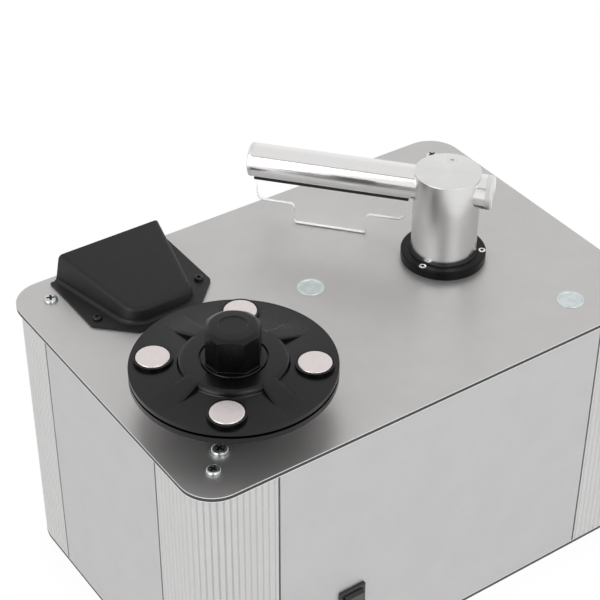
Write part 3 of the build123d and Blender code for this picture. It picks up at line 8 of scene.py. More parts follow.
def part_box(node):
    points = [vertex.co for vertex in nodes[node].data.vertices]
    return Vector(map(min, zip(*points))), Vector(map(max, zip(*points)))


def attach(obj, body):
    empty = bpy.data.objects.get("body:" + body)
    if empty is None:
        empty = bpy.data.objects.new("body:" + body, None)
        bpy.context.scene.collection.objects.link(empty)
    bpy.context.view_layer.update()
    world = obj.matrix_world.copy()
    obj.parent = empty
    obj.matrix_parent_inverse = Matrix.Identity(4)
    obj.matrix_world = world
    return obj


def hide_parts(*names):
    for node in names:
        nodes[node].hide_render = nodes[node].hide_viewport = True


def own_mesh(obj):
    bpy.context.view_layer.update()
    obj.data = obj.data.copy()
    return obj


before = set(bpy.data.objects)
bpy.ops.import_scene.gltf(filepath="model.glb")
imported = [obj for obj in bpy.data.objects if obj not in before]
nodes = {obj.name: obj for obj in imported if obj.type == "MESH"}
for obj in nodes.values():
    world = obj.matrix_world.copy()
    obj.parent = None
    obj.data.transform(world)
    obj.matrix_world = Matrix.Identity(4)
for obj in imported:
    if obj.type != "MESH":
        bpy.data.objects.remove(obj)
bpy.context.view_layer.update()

# Sizes are in millimetres and MM turns them into Blender's metres. Places from the frame are in metres.
MM = 0.001
SQUARE = ((-1, -1), (1, -1), (1, 1), (-1, 1))

# ---- places, all from the frame


def low(node):
    """The low corner of a CAD node's box."""
    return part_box(node)[0]


def high(node):
    """The high corner of a CAD node's box."""
    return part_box(node)[1]


def centre(node):
    """The middle of a CAD node's box."""
    return (low(node) + high(node)) / 2


def size(node):
    """The edges of a CAD node's box."""
    return high(node) - low(node)


PANEL_TOP = high("top_panel").z
SHEET = size("top_panel").z
SPINDLE = Vector((centre("spindle").x, centre("spindle").y, PANEL_TOP))
ARM = Vector((centre("arm_collar").x, centre("arm_collar").y, PANEL_TOP))

# ---- mesh tools

MERGE_REACH = 1e-7
CAD_MERGE_REACH = 1e-6
SMOOTH_LIMIT = 18.0


def make_object(name, verts, faces, smooth=True):
    """An object from points and faces, with doubled points merged and its faces turned outwards."""
    mesh = bpy.data.meshes.new(name)
    mesh.from_pydata([tuple(v) for v in verts], [], faces)
    mesh.validate()
    work = bmesh.new()
    work.from_mesh(mesh)
    bmesh.ops.remove_doubles(work, verts=work.verts, dist=MERGE_REACH)
    bmesh.ops.recalc_face_normals(work, faces=work.faces)
    for face in work.faces:
        face.smooth = smooth
    work.to_mesh(mesh)
    work.free()
    piece = bpy.data.objects.new(name, mesh)
    bpy.context.scene.collection.objects.link(piece)
    return piece


def skin(name, rings, closed=False):
    """Joins rings of equally many points; closed joins the last to the first, and otherwise both ends are capped."""
    count = len(rings[0])
    verts = [point for ring in rings for point in ring]
    faces = []
    spans = len(rings) if closed else len(rings) - 1
    for i in range(spans):
        a, b = i * count, (i + 1) % len(rings) * count
        for j in range(count):
            k = (j + 1) % count
            faces.append((a + j, a + k, b + k, b + j))
    if not closed:
        faces.append(tuple(reversed(range(count))))
        faces.append(tuple(range((len(rings) - 1) * count, len(rings) * count)))
    return make_object(name, verts, faces)


def lathe(name, profile, origin, segments, closed=False):
    """Turns a profile of (radius, height) points about an upright axis at origin."""
    rings = []
    for radius, height in profile:
        ring = []
        for step in range(segments):
            turn = 2 * pi * step / segments
            ring.append(Vector(origin) + Vector((radius * cos(turn), radius * sin(turn), height)) * MM)
        rings.append(ring)
    return skin(name, rings, closed=closed)


def disc(name, x, y, z_low, z_high, radius, segments=48):
    """A closed upright cylinder in metres, mostly used as a cutter."""
    turns = [2 * pi * step / segments for step in range(segments)]
    return prism(name, [(x + radius * cos(turn), y + radius * sin(turn)) for turn in turns], (z_low, z_high))


def rounded(points, radius, steps=6):
    """Rounds the corners of a closed plan outline; radius is one number or one for each corner."""
    count = len(points)
    radii = radius if isinstance(radius, (list, tuple)) else [radius] * count
    outline = []
    for i in range(count):
        here = Vector(points[i])
        if radii[i] == 0:
            outline.append(here)
            continue
        back = (Vector(points[i - 1]) - here).normalized()
        ahead = (Vector(points[(i + 1) % count]) - here).normalized()
        half = back.angle(ahead) / 2
        reach = radii[i] / tan(half)
        middle = here + (back + ahead).normalized() * (radii[i] / sin(half))
        start = here + back * reach - middle
        end = here + ahead * reach - middle
        swing = start.angle(end)
        for step in range(steps + 1):
            share = step / steps
            from_start = start * (sin((1 - share) * swing) / sin(swing))
            from_end = end * (sin(share * swing) / sin(swing))
            outline.append(middle + from_start + from_end)
    return outline


def prism(name, outline, levels):
    """Stands a plan outline up through levels, in metres."""
    return skin(name, [[Vector((p[0], p[1], z)) for p in outline] for z in levels])


def settle(piece):
    """Applies a piece's modifiers to its mesh."""
    bpy.context.view_layer.update()
    graph = bpy.context.evaluated_depsgraph_get()
    mesh = bpy.data.meshes.new_from_object(piece.evaluated_get(graph))
    old = piece.data
    piece.modifiers.clear()
    piece.data = mesh
    bpy.data.meshes.remove(old)


def discard(piece):
    """Removes an object and its mesh."""
    mesh = piece.data
    bpy.data.objects.remove(piece)
    bpy.data.meshes.remove(mesh)


def carve(piece, cutters, operation="DIFFERENCE"):
    """Cuts, joins or intersects pieces, and removes the ones that were used up."""
    for cutter in cutters:
        step = piece.modifiers.new("carve", "BOOLEAN")
        step.operation = operation
        step.solver = "EXACT"
        step.object = cutter
    settle(piece)
    for cutter in cutters:
        discard(cutter)
    for face in piece.data.polygons:
        face.use_smooth = True
    return piece


def mark_edges(piece, is_smooth):
    """Sets each edge smooth or sharp by the angle between its faces."""
    work = bmesh.new()
    work.from_mesh(piece.data)
    for edge in work.edges:
        edge.smooth = is_smooth(edge.calc_face_angle(0))
    work.to_mesh(piece.data)
    work.free()


def ease(piece, width, segments=3, angle=32):
    """Rounds the edges sharper than an angle, and keeps those between it and SMOOTH_LIMIT crisp."""
    mark_edges(piece, lambda bend: not radians(SMOOTH_LIMIT) < bend < radians(angle))
    step = piece.modifiers.new("ease", "BEVEL")
    step.width = width * MM
    step.segments = segments
    step.limit_method = "ANGLE"
    step.angle_limit = radians(angle)
    step.harden_normals = True
    step.use_clamp_overlap = True
    return piece


def crisp(piece, angle=25):
    """Keeps the edges sharper than an angle as they are, and shades the rest smooth."""
    mark_edges(piece, lambda bend: bend < radians(angle))
    return piece


def pivot(piece, place, turn=Matrix.Identity(3)):
    """Puts a piece's own Z on its axis, and leaves the piece where it is."""
    frame_of_piece = Matrix.Translation(place) @ turn.to_4x4()
    piece.data.transform(frame_of_piece.inverted())
    piece.matrix_world = frame_of_piece
    return piece


def dress(piece, body, material, slot, *replaced):
    """Gives a piece its material and body, and hides the CAD nodes it stands for. The slot is not used."""
    if material is not None:
        piece.data.materials.clear()
        piece.data.materials.append(material)
    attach(piece, body)
    if replaced:
        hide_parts(*replaced)
    return piece


def coat(material, *names):
    """Gives carried-over CAD nodes their material."""
    for name in names:
        nodes[name].data.materials.clear()
        nodes[name].data.materials.append(material)


# ---- materials

MOTTLE_SPAN = (0.35, 0.65)
NOISE_SPAN = (0.3, 0.7)
RING_STREAKS = 3.0


class Surface:
    """A procedural material: a Principled shader with colour, roughness and relief worked out by nodes."""

    def __init__(self, name, colour, metallic=0.0, roughness=0.5, **fixed):
        self.material = bpy.data.materials.new(name)
        self.material.use_nodes = True
        self.tree = self.material.node_tree
        self.shader = self.tree.nodes["Principled BSDF"]
        self.colour = colour
        self.shader.inputs["Base Color"].default_value = (*colour, 1)
        self.shader.inputs["Metallic"].default_value = metallic
        self.shader.inputs["Roughness"].default_value = roughness
        for socket, value in fixed.items():
            self.shader.inputs[socket.replace("_", " ")].default_value = value
        self.roughness = roughness
        self.place = self.node("ShaderNodeTexCoord").outputs["Object"]
        self.normal = None

    def node(self, kind, **settings):
        """A new node with some of its settings."""
        made = self.tree.nodes.new(kind)
        for key, value in settings.items():
            setattr(made, key, value)
        return made

    def link(self, source, target):
        self.tree.links.new(source, target)

    def texture(self, place, detail):
        """A noise texture, one feature to a unit of place."""
        noise = self.node("ShaderNodeTexNoise")
        self.link(place, noise.inputs["Vector"])
        noise.inputs["Scale"].default_value = 1.0
        noise.inputs["Detail"].default_value = detail
        return noise.outputs["Fac"]

    def noise(self, scale, detail):
        """Noise in object space, with this many features per metre."""
        mapping = self.node("ShaderNodeMapping")
        self.link(self.place, mapping.inputs["Vector"])
        mapping.inputs["Scale"].default_value = (scale, scale, scale)
        return self.texture(mapping.outputs["Vector"], detail)

    def ramp(self, source, span, least=0.0, most=1.0):
        """Spreads a span of a value from least to most."""
        remap = self.node("ShaderNodeMapRange")
        self.link(source, remap.inputs["Value"])
        remap.inputs["From Min"].default_value, remap.inputs["From Max"].default_value = span
        remap.inputs["To Min"].default_value = least
        remap.inputs["To Max"].default_value = most
        return remap.outputs["Result"]

    def tint(self, mask, other):
        """Blends the colour into another where the mask is high."""
        mix = self.node("ShaderNodeMix", data_type="RGBA")
        self.link(mask, mix.inputs["Factor"])
        mix.inputs["A"].default_value = (*self.colour, 1)
        mix.inputs["B"].default_value = (*other, 1)
        self.link(mix.outputs["Result"], self.shader.inputs["Base Color"])

    def darker(self, amount):
        """The material's colour, darker by this share."""
        return tuple(c * (1 - amount) for c in self.colour)

    def mottle(self, scale, amount):
        """Slight colour variation."""
        self.tint(self.ramp(self.noise(scale, 4.0), MOTTLE_SPAN), self.darker(amount))

    def vary(self, scale, amount):
        """Roughness variation."""
        mask = self.noise(scale, 3.0)
        worn = self.ramp(mask, NOISE_SPAN, self.roughness - amount, self.roughness + amount)
        self.link(worn, self.shader.inputs["Roughness"])

    def relief(self, source, height):
        """Relief from a value, over the rounded edges if there are any."""
        bump = self.node("ShaderNodeBump")
        self.link(source, bump.inputs["Height"])
        bump.inputs["Distance"].default_value = height * MM
        if self.normal:
            self.link(self.normal, bump.inputs["Normal"])
        self.link(bump.outputs["Normal"], self.shader.inputs["Normal"])

    def grain(self, scale, height, detail=2.0):
        """Fine relief."""
        self.relief(self.noise(scale, detail), height)

    def vector(self, operation, first, second=None):
        """A vector maths node on a socket and a socket or a constant."""
        made = self.node("ShaderNodeVectorMath", operation=operation)
        self.link(first, made.inputs[0])
        if isinstance(second, tuple):
            made.inputs[1].default_value = second
        elif second:
            self.link(second, made.inputs[1])
        return made

    def rings(self, scale):
        """Noise drawn out into rings about the piece's own upright axis."""
        flat = self.vector("MULTIPLY", self.place, (1, 1, 0)).outputs["Vector"]
        reach = self.vector("LENGTH", flat)
        spread = self.vector("SCALE", self.vector("NORMALIZE", flat).outputs["Vector"])
        spread.inputs["Scale"].default_value = RING_STREAKS
        split = self.node("ShaderNodeSeparateXYZ")
        self.link(self.place, split.inputs["Vector"])
        travel = self.node("ShaderNodeMath", operation="ADD")
        self.link(split.outputs["Z"], travel.inputs[0])
        self.link(reach.outputs["Value"], travel.inputs[1])
        fine = self.node("ShaderNodeMath", operation="MULTIPLY")
        self.link(travel.outputs["Value"], fine.inputs[0])
        fine.inputs[1].default_value = scale
        lift = self.node("ShaderNodeCombineXYZ")
        self.link(fine.outputs["Value"], lift.inputs["Z"])
        total = self.vector("ADD", spread.outputs["Vector"], lift.outputs["Vector"])
        return self.texture(total.outputs["Vector"], 2.0)

    def turned(self, scale, tone, height, anisotropic):
        """A lathe-turned finish: fine rings in tone and relief, and a highlight drawn out across them."""
        rings = self.rings(scale)
        self.tint(self.ramp(rings, NOISE_SPAN), self.darker(tone))
        self.relief(rings, height)
        tangent = self.node("ShaderNodeTangent", direction_type="RADIAL", axis="Z")
        self.link(tangent.outputs["Tangent"], self.shader.inputs["Tangent"])
        self.shader.inputs["Anisotropic"].default_value = anisotropic
        return self

    def soft_edges(self, radius):
        """Rounds the shading of sharp edges. It comes before any grain."""
        bevel = self.node("ShaderNodeBevel", samples=4)
        bevel.inputs["Radius"].default_value = radius * MM
        self.normal = bevel.outputs["Normal"]
        self.link(self.normal, self.shader.inputs["Normal"])


def finish(name, colour, metallic, roughness, mottle, vary=None, grain=None, edge=0.0, **fixed):
    """A material with what the methods of the same names take; None leaves one out."""
    made = Surface(name, colour, metallic, roughness, **fixed)
    if edge:
        made.soft_edges(edge)
    made.mottle(*mottle)
    if vary:
        made.vary(*vary)
    if grain:
        made.grain(*grain)
    return made.material


ANODISED = ((60, 0.03), (900, 0.05), (2600, 0.004))
PANEL = finish("panel_anodised", (0.57, 0.56, 0.555), 0.8, 0.43, *ANODISED)
SKIN_EDGE = finish("skin_edge", (0.86, 0.86, 0.86), 0.6, 0.3, (900, 0.1), None, (1800, 0.004))
PROFILE = finish("profile_anodised", (0.61, 0.61, 0.605), 0.55, 0.4, *ANODISED, edge=0.15)
INFILL = finish("infill_anodised", (0.54, 0.54, 0.545), 0.55, 0.45, *ANODISED, edge=0.2)
SHEET_CORE = finish("sheet_core", (0.045, 0.045, 0.045), 0.0, 0.55, (900, 0.3), None, (1800, 0.01))
BLACK_SHELL = finish(
    "black_shell", (0.011, 0.011, 0.0113), 0.0, 0.46,
    (300, 0.2), (1200, 0.05), (1900, 0.012), Specular_IOR_Level=0.3,
)
BLACK_MACHINED = finish(
    "black_machined", (0.002, 0.002, 0.0021), 0.0, 0.29,
    (200, 0.2), (700, 0.03), (1800, 0.002), Specular_IOR_Level=0.3,
)
BLACK_ANODISED = finish(
    "black_anodised", (0.002, 0.002, 0.0021), 0.0, 0.32,
    (300, 0.2), (900, 0.04), (1900, 0.003), Specular_IOR_Level=0.16,
)
BLACK_RUBBER = finish("black_rubber", (0.012, 0.012, 0.012), 0.0, 0.75, (400, 0.3), None, (900, 0.02))
FOOT_RUBBER = finish("foot_rubber", (0.02, 0.02, 0.02), 0.0, 0.7, (300, 0.3), None, (700, 0.03))
ZINC = finish("zinc_plate", (0.67, 0.7, 0.705), 0.9, 0.26, (260, 0.18), (400, 0.1), (900, 0.006), edge=0.2)
# Dark metal painted on the walls of screw recesses as shade.
PAINTED_RECESS_SHADE = finish("painted_recess_shade", (0.03, 0.032, 0.033), 0.6, 0.4, (900, 0.3), None, (1800, 0.004))
PLUG_ZINC = finish("plug_zinc", (0.68, 0.74, 0.745), 0.5, 0.36, (260, 0.14), (400, 0.08), (900, 0.005))
CHROME = finish("chrome", (0.8, 0.8, 0.8), 1.0, 0.1, (500, 0.05), (300, 0.04), (600, 0.002))
BLACK_STEEL = finish("black_steel", (0.03, 0.03, 0.031), 0.6, 0.35, (600, 0.2), None, (1500, 0.004), edge=0.15)
MAGNET = finish("nickel_magnet", (0.76, 0.7, 0.695), 0.75, 0.4, (350, 0.05), (500, 0.05), (1200, 0.004))
COLUMN_METAL = Surface("brushed_column", (0.78, 0.775, 0.77), 1.0, 0.26).turned(9000, 0.1, 0.002, 0.9).material
TUBE = Surface("polished_tube", (0.84, 0.83, 0.825), 0.9, 0.11).turned(6000, 0.04, 0.0004, 0.95).material
TUBE_END = Surface("turned_end", (0.78, 0.775, 0.77), 1.0, 0.3).turned(6000, 0.06, 0.001, 0.8).material
VELVET = finish(
    "velvet", (0.008, 0.008, 0.009), 0.0, 0.95,
    (900, 0.4), None, (1500, 0.15, 3.0), Sheen_Weight=0.4, Sheen_Roughness=0.4,
)
BRONZE = finish("bronze", (0.5, 0.34, 0.16), 1.0, 0.35, (300, 0.2), None, (1200, 0.01))
STEEL = finish("ground_steel", (0.6, 0.6, 0.61), 1.0, 0.28, (300, 0.1), (500, 0.08), (900, 0.004))
NYLON = finish("nylon", (0.72, 0.71, 0.67), 0.0, 0.5, (200, 0.06), None, (800, 0.01))
TANK = finish("tank_plastic", (0.7, 0.72, 0.71), 0.0, 0.45, (40, 0.06), None, (500, 0.02))
CAST = finish("cast_alloy", (0.42, 0.42, 0.43), 0.8, 0.5, (200, 0.1), None, (900, 0.03))
PAINTED = finish("painted_shell", (0.11, 0.11, 0.12), 0.0, 0.45, (200, 0.1), None, (900, 0.02))
GLOSS_BLACK = finish(
    "gloss_plastic", (0.015, 0.015, 0.016), 0.0, 0.2, (300, 0.2), (300, 0.04), (600, 0.002), edge=0.3
)
FITTING = finish("fitting_plastic", (0.06, 0.06, 0.062), 0.0, 0.45, (300, 0.15), None, (900, 0.01), edge=0.3)
BRASS = finish("plated_brass", (0.62, 0.5, 0.27), 1.0, 0.25, (500, 0.1), None, (900, 0.003))
ACRYLIC = finish(
    "clear_acrylic", (1.0, 1.0, 1.0), 0.0, 0.02, (15, 0.01), (60, 0.01), IOR=1.2, Transmission_Weight=1.0
)
# Frosted white of a sawn edge, and also a painted glow: only the bottom edges get it.
SAWN_EDGE_GLOW = finish("sawn_edge_painted_glow", (0.95, 0.95, 0.95), 0.0, 0.5, (700, 0.03), None, (1500, 0.01))

# ---- cabinet

SKIN = 0.5 * MM
SHEET_EASE = 0.12
CORNER_STEPS = 12
CORE_FACE, SKIN_FACE = 1, 2


def composite_sheet(name, node, corner, holes, slot):
    """A sheet of two bright skins on a dark core, cut to its CAD outline."""
    start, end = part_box(node)
    corners = [(start.x, start.y), (end.x, start.y), (end.x, end.y), (start.x, end.y)]
    outline = rounded(corners, corner * MM, CORNER_STEPS)
    sheet = prism(name, outline, (start.z, start.z + SKIN, end.z - SKIN, end.z))
    if holes:
        carve(sheet, holes)
    sheet.data.materials.clear()
    for material in (PANEL, SHEET_CORE, SKIN_EDGE):
        sheet.data.materials.append(material)
    for face in sheet.data.polygons:
        inside = start.z + SKIN < face.center.z < end.z - SKIN
        upright = abs(face.normal.z) < 0.5
        if upright:
            face.material_index = CORE_FACE if inside else SKIN_FACE
    ease(sheet, SHEET_EASE, 2)
    dress(sheet, "cabinet", None, slot, node)
    return sheet


PANEL_CORNER = 19.0
BOTTOM_CORNER = 22.0
VENT_COUNT = 4
VENT_PITCH = 12.0
VENT_LENGTH = 34.0
VENT_WIDTH = 7.0
# Just under half a circle, so that a slot's arcs don't meet in one point.
NEARLY_ROUND = 0.999
COLUMN_HOLE_GAP = 0.3
SPINDLE_HOLE_GAP = 3.0
ring_middle = centre("vacuum_mount_ring")


def vent(index):
    """One exhaust slot under the hood."""
    y = ring_middle.y + (index - (VENT_COUNT - 1) / 2) * VENT_PITCH * MM
    reach, half = VENT_LENGTH / 2 * MM, VENT_WIDTH / 2 * MM
    corners = [(ring_middle.x + u * reach, y + v * half) for u, v in SQUARE]
    return prism("vent", rounded(corners, half * NEARLY_ROUND), (PANEL_TOP - 2 * SHEET, PANEL_TOP + SHEET))


def through(node, clearance):
    """A cutter for the top panel round a node, wider by a clearance."""
    middle = centre(node)
    radius = size(node).x / 2 + clearance * MM
    return disc("hole", middle.x, middle.y, PANEL_TOP - 2 * SHEET, PANEL_TOP + SHEET, radius)


top_holes = [vent(i) for i in range(VENT_COUNT)]
top_holes.append(through("arm_column", COLUMN_HOLE_GAP))
top_holes.append(through("spindle", SPINDLE_HOLE_GAP))
top_sheet = composite_sheet("top_sheet", "top_panel", PANEL_CORNER, top_holes, "panel_aluminium")
composite_sheet("bottom_sheet", "bottom_panel", BOTTOM_CORNER, [], "panel_aluminium")

coat(PROFILE, "front_left_profile", "front_right_profile", "rear_left_profile", "rear_right_profile")
coat(INFILL, "front_infill", "rear_infill", "left_infill", "right_infill")
coat(FOOT_RUBBER, "feet")
coat(ZINC, "foot_screws", "drive_standoffs", "drive_bracket")
coat(BRONZE, "spindle_bearing")
coat(NYLON, "thrust_washer", "swivel_sleeve", "arm_guide")
coat(STEEL, "spindle", "drive_motor", "vacuum_motor")
coat(CAST, "drive_gearbox")
coat(PAINTED, "fan_housing")
coat(TANK, "waste_tank")
coat(BLACK_RUBBER, "vacuum_mount_ring", "suction_coupling", "vacuum_hose", "drain_cap", "column_wiper")
coat(BLACK_RUBBER, "platter_seal", "clamp_seal")
coat(BLACK_STEEL, "knob_screws")
coat(MAGNET, "platter_magnets")
coat(FITTING, "drain_spigot")
coat(BRASS, "inlet_pins")
coat(GLOSS_BLACK, "mains_inlet", "vacuum_switch_housing", "drive_switch_housing", "vacuum_rocker", "drive_rocker")
coat(VELVET, "velvet_strips")

# ---- fasteners and plugs

OVERCUT = 0.5
HEX_DEPTH = 1.2
# A cross recess's reach as a share of its head's radius, and its reach at the floor and the mouth as shares of that.
CROSS_REACH = 0.64
CROSS_FLOOR, CROSS_MOUTH = 0.55, 1.1
CROSS_WIDTH = 1.3
CROSS_DEPTH = 1.4
# How far below a head's top the walls painted with shade lie.
SHADE_START, SHADE_END = 0.2, 1.6
PAINTED_SHADE_FACE = 1
HEAD_INSET, HEAD_FOOT, HEAD_RIM = 0.15, 0.25, 0.6
CROWN_FLAT, CROWN_ROUND = 0.55, 0.45
CROWN_STEPS = 8
HEAD_TURNS = (0.35, 1.15, 0.8, 0.1)
# Head radius, head height, shank radius, and how far out the recess is painted with shade.
CORNER_HEAD = (3.9, 2.1, 1.9, 2.7)
MOUNT_HEAD = (4.5, 1.9, 2.0, 3.1)
WASHER_BORE, WASHER_RADIUS, WASHER_HEIGHT = 2.2, 5.2, 0.8
HOOD_FLANGE = 1.5
# Profiles of (radius, height) points.
CAP_SCREW = [(1.5, 0), (2.6, 0), (2.6, 1.0), (2.35, 1.5), (1.7, 1.8)]
CAP_SOCKET = 2.0
PLUG = [
    (7, -6), (7, 0), (7.9, 0), (7.9, 0.2), (7.6, 0.5), (7.1, 0.55), (6.7, 0.4), (6.35, 0.05), (6.0, 0.0),
    (4.0, 0.06), (2.0, 0.12), (0.01, 0.14),
]


def screw_points(node):
    """The axes of a node's separate screws: the middle of each loose piece of its mesh."""
    work = bmesh.new()
    work.from_mesh(nodes[node].data)
    bmesh.ops.remove_doubles(work, verts=work.verts, dist=CAD_MERGE_REACH)
    left = set(work.verts)
    points = []
    while left:
        island = [left.pop()]
        for vert in island:
            for edge in vert.link_edges:
                other = edge.other_vert(vert)
                if other in left:
                    left.remove(other)
                    island.append(other)
        xs = [v.co.x for v in island]
        ys = [v.co.y for v in island]
        points.append(((min(xs) + max(xs)) / 2, (min(ys) + max(ys)) / 2))
    work.free()
    return sorted(points)


def cross_recess(x, y, top, reach, turn):
    """Two cutters for a cross recess, narrower at the bottom."""
    arms = []
    for swing in (0, pi / 2):
        rings = []
        for z, share in ((top - CROSS_DEPTH * MM, CROSS_FLOOR), (top + OVERCUT * MM, CROSS_MOUTH)):
            ring = []
            for u, v in SQUARE:
                p = Vector((u * reach * share, v * CROSS_WIDTH / 2)) * MM
                p.rotate(Matrix.Rotation(turn + swing, 2))
                ring.append(Vector((x + p.x, y + p.y, z)))
            rings.append(ring)
        arms.append(skin("recess", rings))
    return arms


def shade_recesses(piece, node, seat, height, reach):
    """Paints shade on the walls of a piece's recesses with a dark metal; seat is in metres."""
    piece.data.materials.append(PAINTED_RECESS_SHADE)
    spots = [Vector(p) for p in screw_points(node)]
    for face in piece.data.polygons:
        near = min((face.center.xy - spot).length for spot in spots) / MM
        if near < reach and height - SHADE_END < (face.center.z - seat) / MM < height - SHADE_START:
            face.material_index = PAINTED_SHADE_FACE


def hex_recess(x, y, top, flats, turn=0.3):
    """A cutter for a hexagon socket, this wide across its flats."""
    radius = flats / sqrt(3) * MM
    turns = [turn + pi * i / 3 for i in range(6)]
    outline = [(x + radius * cos(t), y + radius * sin(t)) for t in turns]
    return [prism("recess", outline, (top - HEX_DEPTH * MM, top + OVERCUT * MM))]


def join(name, pieces):
    """Puts several meshes into one object."""
    work = bmesh.new()
    for piece in pieces:
        work.from_mesh(piece.data)
        discard(piece)
    mesh = bpy.data.meshes.new(name)
    work.to_mesh(mesh)
    work.free()
    for face in mesh.polygons:
        face.use_smooth = True
    joined = bpy.data.objects.new(name, mesh)
    bpy.context.scene.collection.objects.link(joined)
    return joined


def pan_heads(name, node, seat, head_radius, head_height, shank_radius, shade_reach):
    """Domed screws with cross recesses, on the node's own axes; seat is in metres."""
    heads = []
    bottom = (low(node).z - seat) / MM
    for (x, y), turn in zip(screw_points(node), HEAD_TURNS, strict=True):
        profile = [(shank_radius, bottom), (shank_radius, 0), (head_radius - HEAD_INSET, 0), (head_radius, HEAD_FOOT)]
        for step in range(CROWN_STEPS + 1):
            swing = step / CROWN_STEPS * pi / 2
            radius = head_radius * (CROWN_FLAT + CROWN_ROUND * cos(swing))
            profile.append((radius, HEAD_RIM + (head_height - HEAD_RIM) * sin(swing)))
        head = lathe("head", profile, (x, y, seat), 40)
        carve(head, cross_recess(x, y, seat + head_height * MM, head_radius * CROSS_REACH, turn))
        heads.append(head)
    screws = dress(ease(join(name, heads), 0.08, 2), "cabinet", ZINC, "zinc_steel", node)
    shade_recesses(screws, node, seat, head_height, shade_reach)


pan_heads("corner_screws", "panel_screws", PANEL_TOP, *CORNER_HEAD)
pan_heads("mount_screws", "drive_screws", high("drive_washers").z, *MOUNT_HEAD)
washers = []
for x, y in screw_points("drive_washers"):
    profile = [(WASHER_BORE, 0), (WASHER_RADIUS, 0), (WASHER_RADIUS, WASHER_HEIGHT), (WASHER_BORE, WASHER_HEIGHT)]
    washers.append(lathe("washer", profile, (x, y, PANEL_TOP), 48, closed=True))
dress(ease(join("flat_washers", washers), 0.12, 2), "cabinet", ZINC, "zinc_steel", "drive_washers")

cap_screws = []
hood_seat = PANEL_TOP + HOOD_FLANGE * MM
shank_end = (CAP_SCREW[0][0], (low("hood_screws").z - hood_seat) / MM)
for x, y in screw_points("hood_screws"):
    head = lathe("head", [shank_end, *CAP_SCREW], (x, y, hood_seat), 32)
    cap_screws.append(carve(head, hex_recess(x, y, hood_seat + CAP_SCREW[-1][1] * MM, CAP_SOCKET)))
dress(ease(join("hood_cap_screws", cap_screws), 0.1, 2), "cabinet", BLACK_STEEL, "black_steel", "hood_screws")

plugs = [lathe("plug", PLUG, (x, y, PANEL_TOP), 64) for x, y in screw_points("panel_plugs")]
dress(ease(join("hole_plugs", plugs), 0.08, 2, angle=40), "cabinet", PLUG_ZINC, "zinc_steel", "panel_plugs")

# ---- exhaust hood

# Plans are about the middle of the rear edge. A form is its rear and front half widths, its depth and its corner.
FLANGE_OUTLINE = [(37.8, 0), (37.8, -47.2), (19.0, -66.0), (-19.0, -66.0), (-37.8, -47.2), (-37.8, 0)]
BASE_FORM = (33.9, 20.4, 61.2, 13.0)
TOP_FORM = (31.6, 18.6, 60.4, 10.5)
TOP_SETBACK = 1.0
REAR_HEIGHT = 18.3
FRONT_HEIGHT = 10.2
FLANGE_CORNER = 4.0
FLANGE_STEPS = 8
FORM_STEPS = 14
BEAD_FOOT = 0.5
BEAD_TOP = 4.0
BEAD_WIDTH = 2.0
BEAD_STEPS = 8
SHELL_FOOT = 3.0
HOOD_WALL = 2.0
HOOD_EDGE = 2.6
EDGE_STEPS = 6
INSIDE_FOOT = -1.0
OVERRUN = 3.0
hood_low, hood_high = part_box("exhaust_hood")
hood_rear = Vector(((hood_low.x + hood_high.x) / 2, hood_high.y, PANEL_TOP))
fall = (REAR_HEIGHT - FRONT_HEIGHT) / TOP_FORM[2]


def hood_outline(form, inset, overrun=0.0):
    """A plan section of the hood, its rear corners square and its rear edge moved back by overrun."""
    rear_half, front_half, depth, corner = form
    points = [
        (rear_half - inset, overrun),
        (front_half - inset, inset - depth),
        (inset - front_half, inset - depth),
        (inset - rear_half, overrun),
    ]
    return rounded(points, [0, corner - inset, corner - inset, 0], FORM_STEPS)


def at_base(inset, height, overrun=0.0):
    """A level ring of the hood."""
    return [hood_rear + Vector((p.x, p.y, height)) * MM for p in hood_outline(BASE_FORM, inset, overrun)]


def at_top(inset, drop=0.0, overrun=0.0):
    """A ring on the hood's sloping top, or below it."""
    run = 1 / sqrt(1 + fall * fall)
    ring = []
    for p in hood_outline(TOP_FORM, inset, overrun):
        place = Vector((p.x, p.y * run - TOP_SETBACK, REAR_HEIGHT - drop + p.y * run * fall))
        ring.append(hood_rear + place * MM)
    return ring


def hood_shell():
    """The flange, the bead and the shell in one, hollow and open to the rear."""
    flange = rounded(FLANGE_OUTLINE, [0, *[FLANGE_CORNER] * 4, 0], FLANGE_STEPS)
    flange = [hood_rear + Vector((p.x, p.y, 0)) * MM for p in flange]
    lift = Vector((0, 0, HOOD_FLANGE)) * MM
    plate = skin("hood_flange", [flange, [p + lift for p in flange]])
    sweep = [at_base(-BEAD_WIDTH, BEAD_FOOT)]
    for step in range(BEAD_STEPS + 1):
        swing = step / BEAD_STEPS * pi / 2
        sweep.append(at_base(-BEAD_WIDTH * (1 - sin(swing)), BEAD_TOP - (BEAD_TOP - HOOD_FLANGE) * cos(swing)))
    bead = skin("hood_bead", sweep)
    foot, crest, crown = at_base(0, SHELL_FOOT), at_top(0), at_top(HOOD_EDGE)
    rings = [foot]
    for step in range(EDGE_STEPS + 1):
        share = step / EDGE_STEPS
        ring = []
        for a, b, c in zip(foot, crest, crown):
            start = b + (a - b).normalized() * HOOD_EDGE * MM
            ring.append(start * (1 - share) ** 2 + b * 2 * share * (1 - share) + c * share**2)
        rings.append(ring)
    shell = skin("hood_shell", rings)
    carve(plate, [bead, shell], "UNION")
    floor_ring, wall_ring = (at_base(HOOD_WALL, level, OVERRUN) for level in (INSIDE_FOOT, BEAD_TOP))
    return carve(plate, [skin("inside", [floor_ring, wall_ring, at_top(HOOD_WALL, HOOD_WALL, OVERRUN)])])


hood = ease(hood_shell(), 0.45, 3, angle=25)
hood.name = "hood_cover"
dress(hood, "cabinet", BLACK_SHELL, "black_shell", "exhaust_hood")

# ---- platter and clamp

